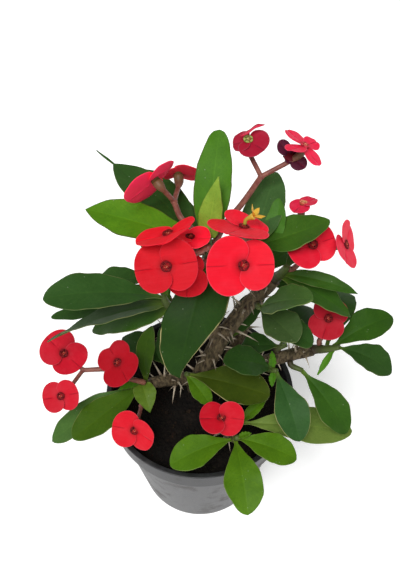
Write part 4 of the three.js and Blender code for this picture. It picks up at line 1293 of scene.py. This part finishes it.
def bract_rings(radius, shape, notch, seed):
    """Rings over and under one kidney-round bract, from the eye out along +X.

    It bays in at the eye and, for a notched bract, at the far end of its midrib.
    """
    offset = shape.offset * radius
    long, broad = shape.long * radius, shape.broad * radius
    bay = 1 - (offset - BRACT_BAY.floor) / long
    over, under, over_marks, under_marks = [], [], [], []
    for ring_share in BRACT_RINGS:
        ring, mark = [], []
        for angle in turns(BRACT_SIDES):
            back = min(angle, 2 * math.pi - angle)
            reach = 1 - bay * hump(math.pi - back, BRACT_BAY.wide)
            reach *= ring_share * (1 - notch * hump(back, BRACT_BAY.notch_wide))
            x = offset + long * reach * math.cos(angle)
            y = broad * reach * math.sin(angle)
            out = min(math.hypot(x, y) / radius, 1)
            height = shape.dish * radius * out**2
            height += BRACT_EDGE.ripple * math.sin(BRACT_EDGE.ripples * angle + seed) * out**3
            height += BRACT_EDGE.fine * math.sin(BRACT_EDGE.fines * angle + 2 * seed) * out**4
            height -= CREASE.deep * hump(y, CREASE.wide) * ease(CREASE.start, CREASE.full, x)
            ring.append(Vector((x, y, height)))
            mark.append((out, y, ring_share))
        rim = 0.5 + 0.5 * ease(1.0, 0.8, ring_share)
        thick = UP * shape.thick * rim
        over.append([point + thick / 2 for point in ring])
        under.append([point - thick / 2 for point in ring])
        over_marks.append(mark)
        under_marks.append([(out, y, -near) for out, y, near in mark])
    return under + over[::-1], under_marks + over_marks[::-1]


def bloom_matrix(bloom):
    return Matrix.Translation(bloom.at) @ facing(bloom.face) @ turned(bloom.turn, "Z")


def add_bracts(shell, bloom, seed):
    """One pair of broad bracts, or two of narrow ones, each with its own turn, lift and size."""
    pairs = bloom.get("pairs", 1)
    shape = NARROW_BRACT if pairs > 1 else BRACT
    for k in range(2 * pairs):
        own = bloom.bracts[k] if "bracts" in bloom else {}
        turn = turned(own.get("turn", 0) + 180 * k / pairs, "Z")
        lift = turned(-own.get("lift", bloom.lift), "Y")
        twist = turned(own.get("twist", shape.twist), "X")
        radius = bloom.wide / 2 * own.get("size", 1)
        notch = own.get("notch", shape.notch)
        rings, marks = bract_rings(radius, shape, notch, seed + BRACT_EDGE.seed_step * k)
        place = bloom_matrix(bloom) @ turn @ (lift @ twist)
        # The tone carries painted light and shade as well as the bloom's own red.
        shell.add_rings(moved(rings, place), marks, (*bloom.tone, 1))


def eye_shell(scale, seed):
    """The cup at a bloom's middle: a ring of glands round a hollow with threads and stamens."""
    stream = random.Random(seed)
    shell = Shell()
    radius, above = EYE.radius * scale, EYE.above

    def seat(turn, out, up, aside=0):
        return turned(turn, "Z") @ Vector((out * radius, aside * radius, up * above))

    profile = [
        (0.2, -EYE.below),
        (0.8 * radius, -EYE.below),
        (0.9 * radius, 0),
        (0.96 * radius, 0.5 * above),
        (0.88 * radius, 0.6 * above),
        (0.66 * radius, 0.2 * above),
        (0.2, 0),
    ]
    marks = [[(KIND.hollow, height / above, 0)] * EYE.sides for _, height in profile]
    shell.add_rings(lathe(profile, EYE.sides), marks)
    for k in range(GLANDS.count):
        turn = 360 * k / GLANDS.count + GLANDS.first
        across, along = GLANDS.across * radius, GLANDS.along * radius
        middle = seat(turn, GLANDS.out, GLANDS.up)
        shell.add_lump(middle, across, along, GLANDS.high, turn, KIND.gland)
    for k in range(THREADS.count):
        turn = 360 * k / THREADS.count + stream.uniform(-THREADS.jitter, THREADS.jitter)
        foot = seat(turn, THREADS.foot, THREADS.rooted)
        out, aside = stream.uniform(*THREADS.reach), stream.uniform(-THREADS.sway, THREADS.sway)
        way = seat(turn, out, THREADS.up, aside) - foot
        rings = spine_rings(foot, way, way.length, THREAD.thick, THREAD.droop)
        shell.add_rings(rings, [[(KIND.thread, 0.8, 0)] * len(rings[0])] * len(rings))
    for _ in range(STAMENS.count):
        turn = stream.uniform(0, 360)
        middle = seat(turn, STAMENS.reach * math.sqrt(stream.random()), STAMENS.up)
        shell.add_lump(middle, STAMENS.radius, STAMENS.radius, STAMENS.high, mark=KIND.stamen)
    return shell


def add_strip(shell, bloom):
    """A thin pale bract that has dried to a curled strip over the bloom."""
    course = Course([Vector(bloom.at) + Vector(step) for step in STRIP.path])
    rings = stalk_rings(course, tapered(STRIP.radii), STRIP.sides, STRIP.step)
    shell.add_rings(rings, ring_marks(rings, lambda share: 0.5 + 0.3 * share), STRIP.tone)


def make_bloom(name, bloom, index):
    bracts = Shell()
    add_bracts(bracts, bloom, index)
    if "strip" in bloom:
        add_strip(bracts, bloom)
    make_piece(name + "_bracts", bracts, BRACT_FINISHES["red_bract"], "bract", name)
    scale = min(EYE.largest, EYE.smallest + bloom.wide / EYE.growth)
    finish = EYE_FINISHES[bloom.get("eye", "dark") + "_eye"]
    place = bloom_matrix(bloom)
    make_piece(name + "_eye", eye_shell(scale, index), finish, "bract", name, matrix=place)


def lobe_rings(length, width, thick):
    """A pointed, keeled lobe out along +X."""
    rings = []
    for share, spread in ((0.02, 0.35), (0.25, 0.8), (0.5, 1), (0.7, 0.8), (0.87, 0.42), (1, 0.05)):
        half = 0.5 * width * spread
        curl = 0.12 * length * share**2
        deep = 0.5 * thick * (1 - 0.7 * share)
        rim = [(-half, 0.3 * deep), (0, -deep), (half, 0.3 * deep)]
        keel = [(0.6 * half, deep), (0, 0.4 * deep), (-0.6 * half, deep)]
        rings.append([Vector((length * share, y, z + curl)) for y, z in rim + keel])
    return rings


def make_gland_star():
    """The star of yellow glands that leans out of one bloom's eye: pointed lobes round a cup."""
    bloom = BLOOMS[STAR.bloom]
    lean = Vector(STAR_CUP.lean)
    out = Vector(bloom.face).normalized()
    seat = Vector(bloom.at) + out * (EYE.above + GAP)
    top = seat + lean
    shell = Shell()
    radii = [STAR_CUP.foot, STAR_CUP.foot, STAR_CUP.mouth]
    course = Course([seat, seat + out * STAR_CUP.neck, top])
    rings = stalk_rings(course, tapered(radii), STAR_CUP.sides, STAR_CUP.step)
    shell.add_rings(rings, ring_marks(rings, lambda share: 0.3 * share))
    rings = lobe_rings(STAR.length, STAR.width, STAR.thick)
    marks = ring_marks(rings, lambda share: 0.4 + 0.6 * share)
    for k in range(STAR.lobes):
        tilt = turned(360 * k / STAR.lobes, "Z") @ turned(-STAR.rise, "Y")
        shell.add_rings(moved(rings, Matrix.Translation(top) @ facing(lean) @ tilt), marks)
    make_piece("yellow_gland_star", shell, GLAND_FINISH, "gland", "gland_star")


def pedicel_rings(fork, bloom, cup):
    """A pedicel from the fork, swelling into the cup that the bloom sits on."""
    out = Vector(bloom.face).normalized()
    seat = EYE.below + GAP
    middle = Vector(bloom.at)
    course = Course([fork, middle - out * (seat + CUP.depth), middle - out * seat])
    thin = STALK.pedicel
    radii = [thin] * 8 + [0.5 * (thin + cup), 0.95 * cup, cup, 0.97 * cup]
    return stalk_rings(course, tapered(radii), STALK.sides, STALK.fine_step)


def make_stalk(name, stalk):
    shoot_name, share, toward = stalk.side
    shoot = SHOOTS[shoot_name]
    start = bud_beside(shoot_course(shoot), share, along_list(shoot.radii, share), toward)
    path = [Vector(point) for point in stalk.path]
    radius_at = tapered([STALK.peduncle, STALK.fork])
    shell = Shell()
    rings = stalk_rings(Course([*start, *path]), radius_at, STALK.sides, STALK.step)
    shell.add_rings(rings, ring_marks(rings, ripe_at=lambda share: 0.25 * (1 - share)))
    wide, high = KNOT.wide * STALK.fork, KNOT.high * STALK.fork
    for fork in sorted(set(stalk.blooms.values())):
        shell.add_lump(path[fork], wide, wide, high)
    for bloom_name, fork in stalk.blooms.items():
        rings = pedicel_rings(path[fork], BLOOMS[bloom_name], stalk.get("cup", CUP.radius))
        shell.add_rings(rings, ring_marks(rings, ripe_at=lambda share: ease(0.45, 0.95, share)))
    make_piece(name + "_skin", shell, STALK_FINISH, "stalk", name)
    if "withered" in stalk:
        bracts = Shell()
        add_bracts(bracts, stalk.withered, WITHERED.seed)
        lump = WITHERED.lump
        bracts.add_lump(Vector(stalk.withered.at), lump, lump, EYE.above)
        make_piece("withered_bracts", bracts, BRACT_FINISHES["withered_bract"], "stalk", name)


# ---------------- camera, light and floor

CAMERA = Sizes(elevation=52, back=0.3091, height=0.6626, focal=48, sensor=36)
KEY_LIGHT = Sizes(toward=(0.16, 0.46, -0.87), power=3.0, spread=34)

# The sky's brightness from the horizon at 0.5 to straight up at 1.
SKY = [(0.5, (1, 1, 1, 1)), (0.62, (0.5, 0.5, 0.5, 1)), (0.75, (0.24, 0.24, 0.24, 1))]

FLOOR_HALF = 6


def make_camera():
    lens = bpy.data.cameras.new("camera")
    lens.lens = CAMERA.focal
    lens.sensor_width = CAMERA.sensor
    camera = add_object("camera", lens)
    camera.location = (0, -CAMERA.back, CAMERA.height)
    camera.rotation_euler = (math.radians(90 - CAMERA.elevation), 0, 0)
    bpy.context.scene.camera = camera


def make_lights():
    """One broad key light, and a white studio that is brightest near the floor."""
    lamp = bpy.data.lights.new("key_light", "SUN")
    lamp.energy = KEY_LIGHT.power
    lamp.angle = math.radians(KEY_LIGHT.spread)
    toward = Vector(KEY_LIGHT.toward)
    add_object("key_light", lamp).rotation_euler = toward.to_track_quat("-Z", "Y").to_euler()
    world = bpy.data.worlds.new("studio")
    sky = Nodes(world, "Background")
    _, _, height = sky.split(sky.node("TexCoord", output="Generated"))
    sky.feed("Color", sky.node("ValToRGB", {"stops": SKY}, {0: height * 0.5 + 0.5}))
    bpy.context.scene.world = world
    bpy.context.scene.view_settings.view_transform = "Standard"


def make_floor():
    mesh = bpy.data.meshes.new("floor")
    corners = [(x * FLOOR_HALF, y * FLOOR_HALF, 0) for x, y in ((-1, -1), (1, -1), (1, 1), (-1, 1))]
    mesh.from_pydata(corners, [], [(0, 1, 2, 3)])
    mesh.materials.append(white_floor())
    floor = add_object("floor", mesh)


# ---------------- the whole plant

make_camera()
make_lights()
make_floor()
make_pot()
make_soil()
make_crumbs()
for name, stem in STEMS.items():
    make_stem(name, stem)
for name, shoot in SHOOTS.items():
    make_shoot(name, shoot)
for name, stalk in STALKS.items():
    make_stalk(name, stalk)
for index, (name, bloom) in enumerate(BLOOMS.items()):
    make_bloom(name, bloom, index)
make_gland_star()
